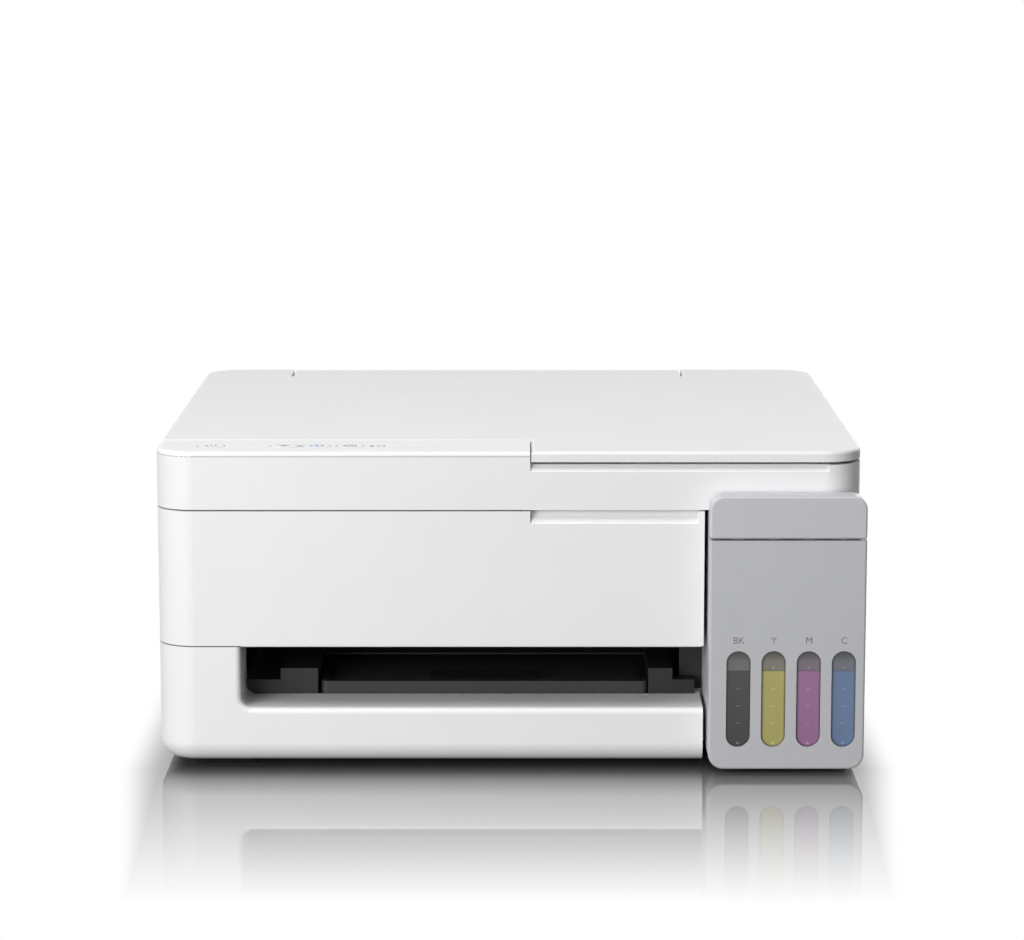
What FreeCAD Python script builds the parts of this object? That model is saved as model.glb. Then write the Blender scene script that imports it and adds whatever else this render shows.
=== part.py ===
"""Inkjet printer with front ink tanks, a flatbed scanner, a rear sheet feeder and a front output tray.

Millimetres, +X right, +Y back, +Z up. The origin lies under the middle of the whole printer.
"""
import FreeCAD, Part
import math
import os
import Sketcher

SIZES = {
    # whole printer
    "overall_width": 375.0,
    "overall_depth": 347.0,
    "overall_height": 172.0,
    # case shells
    "wall": 2.5,
    "corner_radius": 20.0,
    "bottom_round": 10.0,
    "edge_round": 0.8,
    "base_top": 66.8,
    "case_top": 140.0,
    "shell_gap": 0.8,
    "groove_height": 0.7,
    "groove_depth": 1.2,
    "foot_height": 4.0,
    "foot_length": 30.0,
    "foot_width": 12.0,
    "foot_margin": 34.0,
    # paper exit
    "exit_margin": 44.7,
    "exit_low": 33.6,
    "porch_depth": 34.5,
    "porch_round": 5.5,
    "lip_round": 3.0,
    "grip_height": 6.6,
    "grip_depth": 7.0,
    "grip_block": 4.0,
    # ink tanks and their housing
    "tank_width": 82.3,
    "tank_depth": 62.0,
    "tank_proud": 15.0,
    "tank_side": 1.0,
    "tank_gap": 2.1,
    "tank_wall": 2.0,
    "tank_floor": 8.3,
    "tank_split": 127.0,
    "tank_seam": 0.9,
    "tank_top": 150.5,
    "tank_round": 8.0,
    "tank_edge": 1.2,
    "tank_inset": 6.3,
    "tank_clearance": 0.3,
    "cell_gap": 1.2,
    "window_width": 12.8,
    "window_low": 16.0,
    "window_high": 68.0,
    "window_depth": 1.5,
    "cover_round": 7.0,
    "cover_gap": 1.3,
    "neck_radius": 4.2,
    "neck_bore": 3.1,
    "neck_height": 6.0,
    "cap_radius": 5.2,
    "cap_height": 5.8,
    "plug_length": 7.0,
    "knuckle_radius": 1.4,
    "cover_pin": 0.8,
    # scanner, panel and lid
    "lid_height": 5.7,
    "lid_plate": 2.5,
    "lid_round": 2.0,
    "tub_drop": 7.3,
    "ear_drop": 8.8,
    "panel_width": 198.5,
    "panel_depth": 40.5,
    "panel_plate": 2.6,
    "panel_drop": 0.2,
    "panel_gap": 0.6,
    "button_radius": 7.3,
    "button_clearance": 0.3,
    "button_flange": 8.6,
    "button_margin": 28.8,
    "button_pitch": 17.6,
    "button_gap": 38.7,
    "button_travel": 0.6,
    "scoop_height": 3.5,
    "scoop_depth": 4.0,
    "glass_width": 315.0,
    "glass_depth": 225.0,
    "glass_thick": 2.8,
    "glass_ledge": 4.0,
    "frame_thick": 3.4,
    "sensor_width": 18.0,
    "sensor_height": 14.2,
    "rail_radius": 3.0,
    "pad_thick": 5.1,
    # scanner and lid hinge
    "hinge_back": 3.2,
    "hinge_drop": 4.8,
    "hinge_pin": 1.2,
    "hinge_round": 1.9,
    "post_width": 10.0,
    "cheek_width": 3.8,
    "cheek_gap": 0.5,
    "hinge_inset": 26.5,
    # rear sheet feeder
    "feeder_left_margin": 53.5,
    "feeder_right_margin": 80.5,
    "strip_depth": 30.5,
    "strip_bow": 12.0,
    "strip_gap": 2.0,
    "strip_drop": 0.4,
    "strip_thick": 2.8,
    "feed_angle": 25.0,
    "feeder_side": 3.0,
    "support_thick": 2.75,
    "support_low": 85.0,
    "support_margin": 23.6,
    "extension_margin": 63.6,
    "extension_thick": 2.0,
    "guide_margin": 11.6,
    "guide_fence": 10.2,
    "pickup_radius": 14.0,
    "pickup_width": 40.0,
    "pickup_shaft": 3.0,
    "pickup_back": 70.5,
    "pickup_height": 68.0,
    # output tray
    "tray_height": 6.6,
    "tray_floor": 1.5,
    "tray_rail": 4.2,
    "tray_length": 92.0,
    "tray_bar": 3.7,
    "stopper_width": 60.0,
    "stopper_length": 22.0,
    "block_low": 41.3,
    "block_high": 47.6,
    "block_step": 20.2,
    # print engine
    "running_fit": 0.05,
    "slide_gap": 0.3,
    "engine_left_margin": 46.0,
    "engine_right_margin": 16.5,
    "sheet_metal": 1.5,
    "engine_back": 76.5,
    "engine_top": 130.0,
    "shaft_radius": 4.0,
    "shaft_y": 34.0,
    "shaft_height": 92.0,
    "carriage_width": 62.0,
    "carriage_home": 7.0,
    "carriage_front": 0.0,
    "carriage_back": 54.0,
    "carriage_low": 66.0,
    "carriage_top": 112.0,
    "feed_y": 62.0,
    "feed_height": 50.0,
    "roller_radius": 6.0,
    "journal_radius": 4.0,
    "eject_journal": 3.0,
    "gear_module": 1.0,
    "gear_width": 6.0,
    "feed_teeth": 36.0,
    "idler_teeth": 41.0,
    "pinion_teeth": 14.0,
    "pinion_angle": 60.0,
    "pinch_radius": 3.5,
    "star_radius": 4.0,
    "axle_radius": 1.2,
    "belt_width": 4.0,
    "belt_thick": 1.2,
    "belt_y": 63.0,
    "belt_height": 115.0,
    "pulley_radius": 6.0,
    "motor_radius": 14.0,
    "motor_length": 25.0,
    "tube_radius": 1.5,
    "tube_pitch": 4.0,
    "tube_low": 116.0,
    # electrics
    "board_thick": 1.6,
    "board_height": 41.0,
    "board_length": 135.0,
    "post_reach": 25.0,
    "supply_width": 57.0,
    "supply_depth": 71.0,
    "supply_height": 38.5,
    "inlet_width": 20.0,
    "inlet_height": 12.0,
    "usb_width": 12.0,
    "usb_height": 11.0,
}

OVERCUT = 1.0
TOUCH = 0.03
INK_NAMES = ("black", "yellow", "magenta", "cyan")
BUTTON_NAMES = ("power", "wireless", "status", "stop")


class Size:
    """A number in millimetres or degrees, with the expression that gives it from the sheet."""

    def __init__(self, value, text):
        self.value = value
        self.text = text

    def __add__(self, other):
        other = as_size(other)
        return Size(self.value + other.value, "(%s + %s)" % (self.text, other.text))

    def __radd__(self, other):
        return as_size(other) + self

    def __sub__(self, other):
        other = as_size(other)
        return Size(self.value - other.value, "(%s - %s)" % (self.text, other.text))

    def __rsub__(self, other):
        return as_size(other) - self

    def __mul__(self, other):
        other = as_size(other)
        return Size(self.value * other.value, "(%s * %s)" % (self.text, other.text))

    def __rmul__(self, other):
        return as_size(other) * self

    def __truediv__(self, other):
        other = as_size(other)
        return Size(self.value / other.value, "(%s / %s)" % (self.text, other.text))

    def __neg__(self):
        return 0 - self


def as_size(number):
    """Wrap a plain number, so that it mixes with sizes from the sheet."""
    if isinstance(number, Size):
        return number
    return Size(float(number), "(%r)" % float(number))


def sine(angle):
    """Sine of an angle in degrees."""
    return Size(math.sin(math.radians(angle.value)), "sin(%s)" % angle.text)


def cosine(angle):
    """Cosine of an angle in degrees."""
    return Size(math.cos(math.radians(angle.value)), "cos(%s)" % angle.text)


class Sheet:
    """The spreadsheet of driving sizes; each alias reads as an attribute."""

    def __init__(self, document, sizes):
        cells = document.addObject("Spreadsheet::Sheet", "dims")
        for row, (alias, number) in enumerate(sizes.items(), start=1):
            cells.set("A%d" % row, alias)
            cells.set("B%d" % row, repr(number))
            cells.setAlias("B%d" % row, alias)
            setattr(self, alias, Size(number, "dims." + alias))


doc = FreeCAD.newDocument("inkjet_printer")
d = Sheet(doc, SIZES)
doc.recompute()
nodes = []


def bind(thing, name, size):
    """Tie one property of an object to the sheet."""
    thing.setExpression(name, as_size(size).text)


def vector(x, y):
    """Point in a sketch."""
    return FreeCAD.Vector(as_size(x).value, as_size(y).value, 0)


def sign(number):
    """-1, 0 or 1."""
    return (number > 1e-6) - (number < -1e-6)


def moved(size, step, way):
    """A coordinate moved by a step forwards, backwards or not at all."""
    if way == 0:
        return size
    return size + step if way > 0 else size - step


class Pen:
    """Draws constrained lines and arcs in one sketch."""

    def __init__(self, sketch):
        self.sketch = sketch

    def fix(self, geometry, position, point):
        """Dimension one end of a line from the origin of the sketch."""
        for kind, size in zip(("DistanceX", "DistanceY"), point):
            size = as_size(size)
            rule = Sketcher.Constraint(kind, -1, 1, geometry, position, size.value)
            index = self.sketch.addConstraint(rule)
            self.sketch.setExpression("Constraints[%d]" % index, size.text)

    def meet(self, first, first_end, second, second_end):
        """Join two ends."""
        self.sketch.addConstraint(Sketcher.Constraint("Coincident", first, first_end, second, second_end))

    def radius(self, geometry, size):
        """Dimension the radius of an arc or circle."""
        size = as_size(size)
        index = self.sketch.addConstraint(Sketcher.Constraint("Radius", geometry, size.value))
        self.sketch.setExpression("Constraints[%d]" % index, size.text)

    def line(self, first, second):
        """Straight run between two points, both dimensioned."""
        run = self.sketch.addGeometry(Part.LineSegment(vector(*first), vector(*second)), False)
        self.fix(run, 1, first)
        self.fix(run, 2, second)
        return run

    def arc(self, before, after, centre, size, left_turn):
        """Arc that joins the end of one run to the start of the next, dimensioned by its radius."""
        self.radius(self.open_arc(before, after, centre, size, left_turn), size)

    def half_circle(self, before, after, centre, size):
        """Half circle that joins two parallel runs, dimensioned by the height of its centre."""
        arc = self.open_arc(before, after, centre, size, True)
        height = as_size(centre[1])
        rule = Sketcher.Constraint("DistanceY", -1, 1, arc, 3, height.value)
        index = self.sketch.addConstraint(rule)
        self.sketch.setExpression("Constraints[%d]" % index, height.text)

    def open_arc(self, before, after, centre, size, left_turn):
        """Arc between two ends, with its size still free."""
        start, end = (before, after) if left_turn else (after, before)
        circle = Part.Circle(vector(*centre), FreeCAD.Vector(0, 0, 1), as_size(size).value)
        angles = [circle.parameter(vector(*point)) for point in (start[2], end[2])]
        arc = self.sketch.addGeometry(Part.ArcOfCircle(circle, *angles), False)
        self.meet(arc, 1, start[0], start[1])
        self.meet(arc, 2, end[0], end[1])
        return arc


class Outline:
    """A line of straight runs, closed or open, with a round corner where a point gives a radius.

    A bow turns the run that leaves the point of that number into an arc of that height towards +Y.
    Rounded corners lie between runs along the sketch's axes.
    """

    def __init__(self, *points, closed=True, bows=None):
        self.points = [tuple(as_size(part) for part in point) for point in points]
        self.closed = closed
        self.bows = bows or {}

    def corner(self, index):
        """Where the outline arrives at a point, leaves it, the arc between and the way it turns."""
        x, y = self.points[index][:2]
        size = self.points[index][2] if len(self.points[index]) > 2 else None
        if size is None:
            return (x, y), (x, y), None, None, 0
        count = len(self.points)
        last, following = self.points[index - 1], self.points[(index + 1) % count]
        arriving = [sign(here.value - there.value) for here, there in zip((x, y), last)]
        leaving = [sign(there.value - here.value) for here, there in zip((x, y), following)]
        start = tuple(moved(part, size, -way) for part, way in zip((x, y), arriving))
        end = tuple(moved(part, size, way) for part, way in zip((x, y), leaving))
        centre = tuple(moved(part, size, way) for part, way in zip(start, leaving))
        turn = arriving[0] * leaving[1] - arriving[1] * leaving[0]
        return start, end, centre, size, turn

    def draw(self, sketch):
        """Add the outline to a sketch, fully dimensioned."""
        pen = Pen(sketch)
        corners = [self.corner(index) for index in range(len(self.points))]
        count = len(corners)
        runs = count if self.closed else count - 1
        lines = {}
        for index in range(runs):
            if index not in self.bows:
                lines[index] = pen.line(corners[index][1], corners[(index + 1) % count][0])
        for index in range(count):
            before, after = (index - 1) % runs, index
            if corners[index][2] is not None:
                arrive, leave, centre, size, turn = corners[index]
                pen.arc((lines[before], 2, arrive), (lines[after], 1, leave), centre, size, turn > 0)
        for index, height in self.bows.items():
            following = (index + 1) % count
            first, second = corners[index][1], corners[following][0]
            half = (first[0] - second[0]) / 2
            if half.value < 0:
                half = -half
            size = (half * half + height * height) / (2 * height)
            centre = ((first[0] + second[0]) / 2, first[1] + height - size)
            ends = ((lines[(index - 1) % count], 2, first), (lines[following], 1, second))
            pen.arc(*ends, centre, size, first[0].value > second[0].value)


class Circle:
    """A full circle."""

    def __init__(self, x, y, size):
        self.centre = (as_size(x), as_size(y))
        self.size = as_size(size)

    def draw(self, sketch):
        """Add the circle to a sketch, fully dimensioned."""
        pen = Pen(sketch)
        shape = Part.Circle(vector(*self.centre), FreeCAD.Vector(0, 0, 1), self.size.value)
        circle = sketch.addGeometry(shape, False)
        pen.fix(circle, 3, self.centre)
        pen.radius(circle, self.size)


class Pill:
    """An upright slot with round ends."""

    def __init__(self, x, low, high, width):
        self.x, self.low, self.high, self.half = as_size(x), as_size(low), as_size(high), as_size(width) / 2

    def draw(self, sketch):
        """Add the slot to a sketch, fully dimensioned."""
        pen = Pen(sketch)
        left, right = self.x - self.half, self.x + self.half
        low, high = self.low + self.half, self.high - self.half
        rise = pen.line((right, low), (right, high))
        fall = pen.line((left, high), (left, low))
        pen.half_circle((rise, 2, (right, high)), (fall, 1, (left, high)), (self.x, high), self.half)
        pen.half_circle((fall, 2, (left, low)), (rise, 1, (right, low)), (self.x, low), self.half)


def rectangle(x, y, size=None):
    """Closed rectangle between two pairs of coordinates, with round corners if a radius is given."""
    corners = ((x[0], y[0]), (x[1], y[0]), (x[1], y[1]), (x[0], y[1]))
    return Outline(*[corner if size is None else corner + (size,) for corner in corners])


def fits(value, wanted):
    """True where a coordinate is at a size, or between a pair of sizes."""
    if isinstance(wanted, tuple):
        return as_size(wanted[0]).value - TOUCH <= value <= as_size(wanted[1]).value + TOUCH
    return abs(value - as_size(wanted).value) <= TOUCH


def where(x=None, y=None, z=None):
    """Test for edges whose points all lie at, or between, the given coordinates."""
    def test(edge):
        for point in edge.discretize(Number=7):
            for value, wanted in zip((point.x, point.y, point.z), (x, y, z)):
                if wanted is not None and not fits(value, wanted):
                    return False
        return True
    return test


def apart_from(test, *others):
    """Test for edges that pass the first test and none of the others."""
    return lambda edge: test(edge) and not any(other(edge) for other in others)


def any_of(*tests):
    """Test for edges that pass one of several tests."""
    return lambda edge: any(test(edge) for test in tests)


def along(edge, axis):
    """True where an edge is straight and runs along an axis."""
    first, last = edge.Vertexes[0].Point, edge.Vertexes[-1].Point
    run = (last - first)
    return run.Length > 0 and abs(abs(run.dot(axis)) - edge.Length) < TOUCH


class Piece:
    """One sub-part made as a body of sketches, pads, pockets and rounded edges."""

    def __init__(self, label, is_node=True):
        self.label = label
        self.body = doc.addObject("PartDesign::Body", label)
        self.body.Label = label
        self.planes = {feature.Role: feature for feature in self.body.Origin.OriginFeatures}
        self.steps = 0
        if is_node:
            nodes.append(self.body)

    def add(self, kind):
        """New feature at the end of the body."""
        self.steps += 1
        return self.body.newObject(kind, "%s_step_%d" % (self.label, self.steps))

    def sketch(self, plane, level, outlines):
        """Sketch of outlines on one origin plane, moved to a level along that plane's axis."""
        sketch = self.add("Sketcher::SketchObject")
        sketch.AttachmentSupport = [(self.planes[plane + "_Plane"], "")]
        sketch.MapMode = "FlatFace"
        bind(sketch, "AttachmentOffset.Base.z", -level if plane == "XZ" else level)
        for outline in outlines:
            outline.draw(sketch)
        return sketch

    def extrude(self, kind, plane, span, outlines):
        """Extrude outlines over a span of the axis that is square to the plane."""
        low, high = as_size(span[0]), as_size(span[1])
        profile = self.sketch(plane, high if plane == "XZ" else low, outlines)
        feature = self.add(kind)
        feature.Profile = profile
        bind(feature, "Length", high - low)
        return feature

    def pad(self, plane, span, *outlines):
        """Add material."""
        self.extrude("PartDesign::Pad", plane, span, outlines)

    def pocket(self, plane, span, *outlines):
        """Take material away."""
        doc.recompute()
        before = self.body.Shape.Volume
        feature = self.extrude("PartDesign::Pocket", plane, span, outlines)
        feature.Reversed = True
        doc.recompute()
        if self.body.Shape.Volume >= before:
            raise RuntimeError("%s: %s cuts nothing" % (self.label, feature.Name))

    def edges(self, test):
        """Names of the edges that pass a test, on the body as it is."""
        doc.recompute()
        found = self.body.Tip.Shape.Edges
        return ["Edge%d" % (index + 1) for index, edge in enumerate(found) if test(edge)]

    def fillet(self, size, test):
        """Round the edges that pass a test."""
        names = self.edges(test)
        base = self.body.Tip
        feature = self.add("PartDesign::Fillet")
        feature.Base = (base, names)
        bind(feature, "Radius", size)

    def chamfer(self, size, test):
        """Bevel the edges that pass a test."""
        names = self.edges(test)
        base = self.body.Tip
        feature = self.add("PartDesign::Chamfer")
        feature.Base = (base, names)
        bind(feature, "Size", size)

    def pipe(self, size, height, route):
        """Round tube along an open outline at one height, which starts along +Y."""
        spine = self.sketch("XY", height, [route])
        start = route.points[0]
        profile = self.sketch("XZ", start[1], [Circle(start[0], height, size)])
        feature = self.add("PartDesign::AdditivePipe")
        feature.Profile = profile
        feature.Spine = (spine, [])


def place(thing, x, y, z):
    """Tie a primitive's position to the sheet."""
    for axis, size in zip("xyz", (x, y, z)):
        bind(thing, "Placement.Base." + axis, size)


def box(label, x, y, z):
    """Block between pairs of coordinates."""
    block = doc.addObject("Part::Box", label)
    for name, span in zip(("Length", "Width", "Height"), (x, y, z)):
        bind(block, name, as_size(span[1]) - span[0])
    place(block, x[0], y[0], z[0])
    return block


def rod(label, axis, span, centre, size):
    """Cylinder along X, Y or Z over a span, with its centre in the other two coordinates."""
    shape = doc.addObject("Part::Cylinder", label)
    turns = {
        "X": FreeCAD.Rotation(FreeCAD.Vector(0, 1, 0), 90),
        "Y": FreeCAD.Rotation(FreeCAD.Vector(1, 0, 0), -90),
        "Z": FreeCAD.Rotation(),
    }
    shape.Placement = FreeCAD.Placement(FreeCAD.Vector(), turns[axis])
    bind(shape, "Radius", size)
    bind(shape, "Height", as_size(span[1]) - span[0])
    first, second = centre
    starts = {"X": (span[0], first, second), "Y": (first, span[0], second), "Z": (first, second, span[0])}
    place(shape, *starts[axis])
    return shape


def join(label, *parts):
    """Several shapes made one."""
    union = doc.addObject("Part::MultiFuse", label)
    union.Shapes = list(parts)
    union.Label = label
    return union


def carve(label, base, *tools):
    """One shape with others cut out of it."""
    cut = doc.addObject("Part::Cut", label)
    cut.Base = base
    cut.Tool = tools[0] if len(tools) == 1 else join(label + "_cutters", *tools)
    cut.Label = label
    return cut


def group(label, *parts):
    """Separate solids that share one node."""
    bundle = doc.addObject("Part::Compound", label)
    bundle.Links = list(parts)
    bundle.Label = label
    nodes.append(bundle)


def keep(thing):
    """Hand a finished shape in as a node."""
    thing.Label = thing.Name
    nodes.append(thing)


# Sides of the case and of the notch that the tanks stand in
case_left = -d.overall_width / 2
case_right = d.overall_width / 2 - d.tank_side
case_front = d.tank_proud - d.overall_depth / 2
case_rear = d.overall_depth / 2
inner_left = case_left + d.wall
inner_right = case_right - d.wall
inner_rear = case_rear - d.wall
floor_top = d.foot_height + d.wall
tank_right = d.overall_width / 2
tank_left = tank_right - d.tank_width
tank_front = -d.overall_depth / 2
tank_rear = tank_front + d.tank_depth
notch_left = tank_left - d.tank_gap
notch_rear = tank_rear
exit_left = case_left + d.exit_margin
porch_rear = case_front + d.porch_depth

# Levels of the scanner, the panel and the lid
tub_low = d.case_top + d.shell_gap
tub_top = d.overall_height - d.tub_drop
ear_top = d.overall_height - d.ear_drop
lid_low = d.overall_height - d.lid_height
lid_under = d.overall_height - d.lid_plate
panel_top = d.overall_height - d.panel_drop
panel_low = panel_top - d.panel_plate
panel_right = case_left + d.panel_width
panel_rear = case_front + d.panel_depth
hinge_y = case_rear - d.hinge_back
hinge_z = d.overall_height - d.hinge_drop

# Sides of the rear sheet feeder
feeder_left = case_left + d.feeder_left_margin
feeder_right = case_right - d.feeder_right_margin
feeder_middle = (feeder_left + feeder_right) / 2
strip_front = case_rear - d.strip_depth
bay_front = strip_front - d.slide_gap - d.slide_gap
bay_left = feeder_left - d.panel_gap
bay_right = feeder_right + d.panel_gap
hinge_places = (feeder_left - d.hinge_inset, feeder_right + d.hinge_inset + d.hinge_inset - d.strip_bow)

# Axes of the print engine
engine_left = case_left + d.engine_left_margin
engine_right = case_right - d.engine_right_margin
eject_y = d.feed_y - d.gear_module * (d.feed_teeth + d.idler_teeth)
engine_front = eject_y - d.bottom_round
idler_y = d.feed_y - d.gear_module * (d.feed_teeth + d.idler_teeth) / 2
pinion_reach = d.gear_module * (d.feed_teeth + d.pinion_teeth) / 2
pinion_y = d.feed_y + pinion_reach * cosine(d.pinion_angle)
pinion_z = d.feed_height + pinion_reach * sine(d.pinion_angle)
gear_right = engine_left - d.sheet_metal - d.slide_gap - d.slide_gap
gear_left = gear_right - d.gear_width
carriage_right = engine_right - d.sheet_metal - d.carriage_home
carriage_left = carriage_right - d.carriage_width
paper_right = carriage_left - d.slide_gap - d.slide_gap
pinch_z = d.feed_height + d.roller_radius + d.pinch_radius + d.slide_gap
star_z = d.feed_height + d.roller_radius + d.star_radius + d.slide_gap
platen_top = d.feed_height + d.roller_radius - 0.5
head_low = platen_top + 2


def case_outline(inset):
    """Plan of the case, less the notch for the tanks, drawn in by an inset."""
    reach = d.corner_radius - inset
    return Outline(
        (case_left + inset, case_front + inset, reach),
        (notch_left - inset, case_front + inset),
        (notch_left - inset, notch_rear + inset),
        (case_right - inset, notch_rear + inset),
        (case_right - inset, case_rear - inset, reach),
        (case_left + inset, case_rear - inset, reach),
    )


def tub_outline(inset):
    """Plan of the scanner, less the bay of the rear feeder, drawn in by an inset."""
    reach = d.corner_radius - inset
    return Outline(
        (case_left + inset, case_front + inset, reach),
        (case_right - inset, case_front + inset, reach),
        (case_right - inset, case_rear - inset, reach),
        (bay_right + inset, case_rear - inset),
        (bay_right + inset, bay_front - inset),
        (bay_left - inset, bay_front - inset),
        (bay_left - inset, case_rear - inset),
        (case_left + inset, case_rear - inset, reach),
    )


def panel_outline(inset):
    """Plan of the control panel at the front left of the scanner."""
    return Outline(
        (case_left + inset, case_front + inset, d.corner_radius - inset),
        (panel_right - inset, case_front + inset),
        (panel_right - inset, panel_rear - inset),
        (case_left + inset, panel_rear - inset),
    )


def lid_outline(inset):
    """Plan of the lid, which bows back between the ears at the paper support."""
    reach = d.corner_radius - inset
    left, front = panel_right + d.panel_gap + inset, panel_rear + d.panel_gap + inset
    bay = strip_front - d.strip_gap - inset
    return Outline(
        (left, case_front + inset),
        (case_right - inset, case_front + inset, reach),
        (case_right - inset, case_rear - inset, reach),
        (bay_right + inset, case_rear - inset),
        (bay_right + inset, bay),
        (bay_left - inset, bay),
        (bay_left - inset, case_rear - inset),
        (case_left + inset, case_rear - inset, reach),
        (case_left + inset, front),
        (left, front),
        bows={4: d.strip_bow},
    )


def rim(level, inset):
    """Test for the outer rim of the case at one level, without the sides of the tank notch."""
    sides = where(x=notch_left - inset), where(y=notch_rear + inset)
    return apart_from(where(z=level), *sides)


def build_base_case():
    """Lower shell: a rounded tray with the paper exit, the socket openings and the board's posts."""
    piece = Piece("base_case")
    piece.pad("XY", (d.foot_height, d.base_top), case_outline(0))
    piece.pocket("XY", (floor_top, d.base_top + OVERCUT), case_outline(d.wall))
    piece.fillet(d.bottom_round - d.wall, rim(floor_top, d.wall))
    piece.fillet(d.bottom_round, rim(d.foot_height, 0))
    porch = rectangle((exit_left - d.wall, notch_left), (case_front, porch_rear))
    piece.pad("XY", (d.exit_low - d.wall, d.base_top), porch)
    mouth = rectangle((exit_left, notch_left + OVERCUT), (case_front - OVERCUT, porch_rear + OVERCUT))
    piece.pocket("XY", (d.exit_low, d.base_top + OVERCUT), mouth)
    side = rectangle((notch_left - d.wall - OVERCUT, notch_left + OVERCUT), (porch_rear, notch_rear))
    piece.pocket("XY", (d.exit_low, d.base_top + OVERCUT), side)
    piece.fillet(d.porch_round, where(x=exit_left, z=d.exit_low))
    front_edges = where(x=(exit_left, notch_left), y=case_front, z=(d.exit_low, d.base_top))
    piece.fillet(d.lip_round, apart_from(front_edges, where(z=d.base_top), where(x=notch_left)))
    rear_wall = (inner_rear - OVERCUT, case_rear + OVERCUT)
    piece.pocket("XZ", rear_wall, rectangle(inlet_x, inlet_z), rectangle(usb_x, usb_z))
    posts = [Circle(y, z, d.lip_round) for y in board_posts_y for z in board_posts_z]
    piece.pad("YZ", (case_left + d.wall / 2, board_left), *posts)


def build_upper_case():
    """Upper shell: a ring of walls with the front panel, the scanner grip and the ink tube window."""
    piece = Piece("upper_case")
    piece.pad("XY", (d.base_top, d.case_top), case_outline(0))
    piece.pocket("XY", (d.base_top - OVERCUT, d.case_top + OVERCUT), case_outline(d.wall))
    groove = (d.base_top - OVERCUT, d.base_top + d.groove_height)
    piece.pocket("XY", groove, case_outline(-OVERCUT), case_outline(d.groove_depth))
    block_y = (case_front + d.wall / 2, case_front + d.grip_depth + d.grip_block)
    block_x = (panel_right - d.grip_block, notch_left - d.wall / 2)
    piece.pad("XY", (d.case_top - d.grip_height - d.grip_block, d.case_top), rectangle(block_x, block_y))
    slope = d.grip_height / d.grip_depth
    scoop = Outline(
        (case_front - OVERCUT, d.case_top + OVERCUT),
        (case_front + d.grip_depth, d.case_top + OVERCUT),
        (case_front + d.grip_depth, d.case_top),
        (case_front - OVERCUT, d.case_top - d.grip_height - slope * OVERCUT),
    )
    piece.pocket("YZ", (panel_right, notch_left - d.lip_round), scoop)
    window = rectangle((tube_x - d.tube_pitch, tube_x + d.tube_pitch), tube_window_z)
    piece.pocket("XZ", (notch_rear - OVERCUT, notch_rear + d.wall + OVERCUT), window)


def build_feet():
    """Four soft pads that the printer stands on, three under the base and one under the tanks."""
    left, right = case_left + d.foot_margin, case_right - d.foot_margin
    front, back = case_front + d.foot_margin, case_rear - d.foot_margin
    tank_middle = (tank_left + tank_right) / 2
    places = ((left, front), (left, back), (right, back), (tank_middle, (tank_front + tank_rear) / 2))
    feet = []
    for number, (x, y) in enumerate(places, start=1):
        foot = Piece("foot_%d" % number, is_node=False)
        half_x, half_y = d.foot_length / 2, d.foot_width / 2
        pad = rectangle((x - half_x, x + half_x), (y - half_y, y + half_y), d.lip_round)
        foot.pad("XY", (0, d.foot_height), pad)
        foot.chamfer(d.edge_round, where(z=0))
        feet.append(foot.body)
    group("rubber_feet", *feet)


# Places of the electrics, which the base case opens for
board_left = inner_left + d.post_reach
board_right = board_left + d.board_thick
board_back = inner_rear - d.bottom_round / 2
board_y = (board_back - d.board_length, board_back)
board_z = (d.base_top - d.shell_gap - d.board_height, d.base_top - d.shell_gap)
board_posts_y = (board_y[0] + d.bottom_round, board_y[1] - 2 * d.bottom_round)
board_posts_z = (board_z[0] + d.lip_round + OVERCUT, board_z[1] - d.lip_round - OVERCUT)
usb_x = (board_right - d.edge_round, board_right + d.usb_width)
usb_z = (d.exit_low + OVERCUT, d.exit_low + d.usb_height + 3 * OVERCUT)
supply_right = inner_right - d.bottom_round - 2 * OVERCUT
supply_x = (supply_right - d.supply_width, supply_right)
supply_back = inner_rear - d.bottom_round
inlet_middle = (supply_x[0] + supply_x[1]) / 2
inlet_x = (inlet_middle - d.inlet_width / 2 - d.slide_gap, inlet_middle + d.inlet_width / 2 + d.slide_gap)
inlet_low = d.foot_height + d.bottom_round
inlet_z = (inlet_low - d.slide_gap, inlet_low + d.inlet_height + d.slide_gap)

# Route of the ink tubes from the tanks to the carriage
tube_x = (tank_left + tank_right) / 2 - 4 * d.tube_pitch
tube_levels = [d.tube_low + number * d.tube_pitch for number in range(len(INK_NAMES))]
tube_window_z = (d.tube_low - d.tube_pitch, tube_levels[-1] + d.tube_pitch)

# Inside of the tank housing
cell_left = tank_left + d.tank_inset
cell_pitch = (d.tank_width - d.tank_inset - d.tank_wall) / len(INK_NAMES)
cell_centres = [cell_left + cell_pitch * (number + 0.5) for number in range(len(INK_NAMES))]
cell_floor = d.foot_height + d.tank_floor
cell_top = d.tank_split - d.tank_wall
cover_rear = case_front - d.cover_gap
cover_low = d.tank_split + d.tank_seam
cover_axis_x = tank_right - d.tank_wall + 0.1
cover_axis_z = cover_low + d.knuckle_radius + d.slide_gap
step_y = case_front + d.slide_gap
neck_y = (tank_front + cover_rear) / 2 + d.tank_clearance + d.tank_clearance
neck_top = d.tank_split + d.neck_height - 2 * d.tank_wall
lug_length = d.tank_wall + d.edge_round
lug_starts = (tank_front + d.tank_wall + d.slide_gap, cover_rear - d.tank_wall - lug_length)


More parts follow.
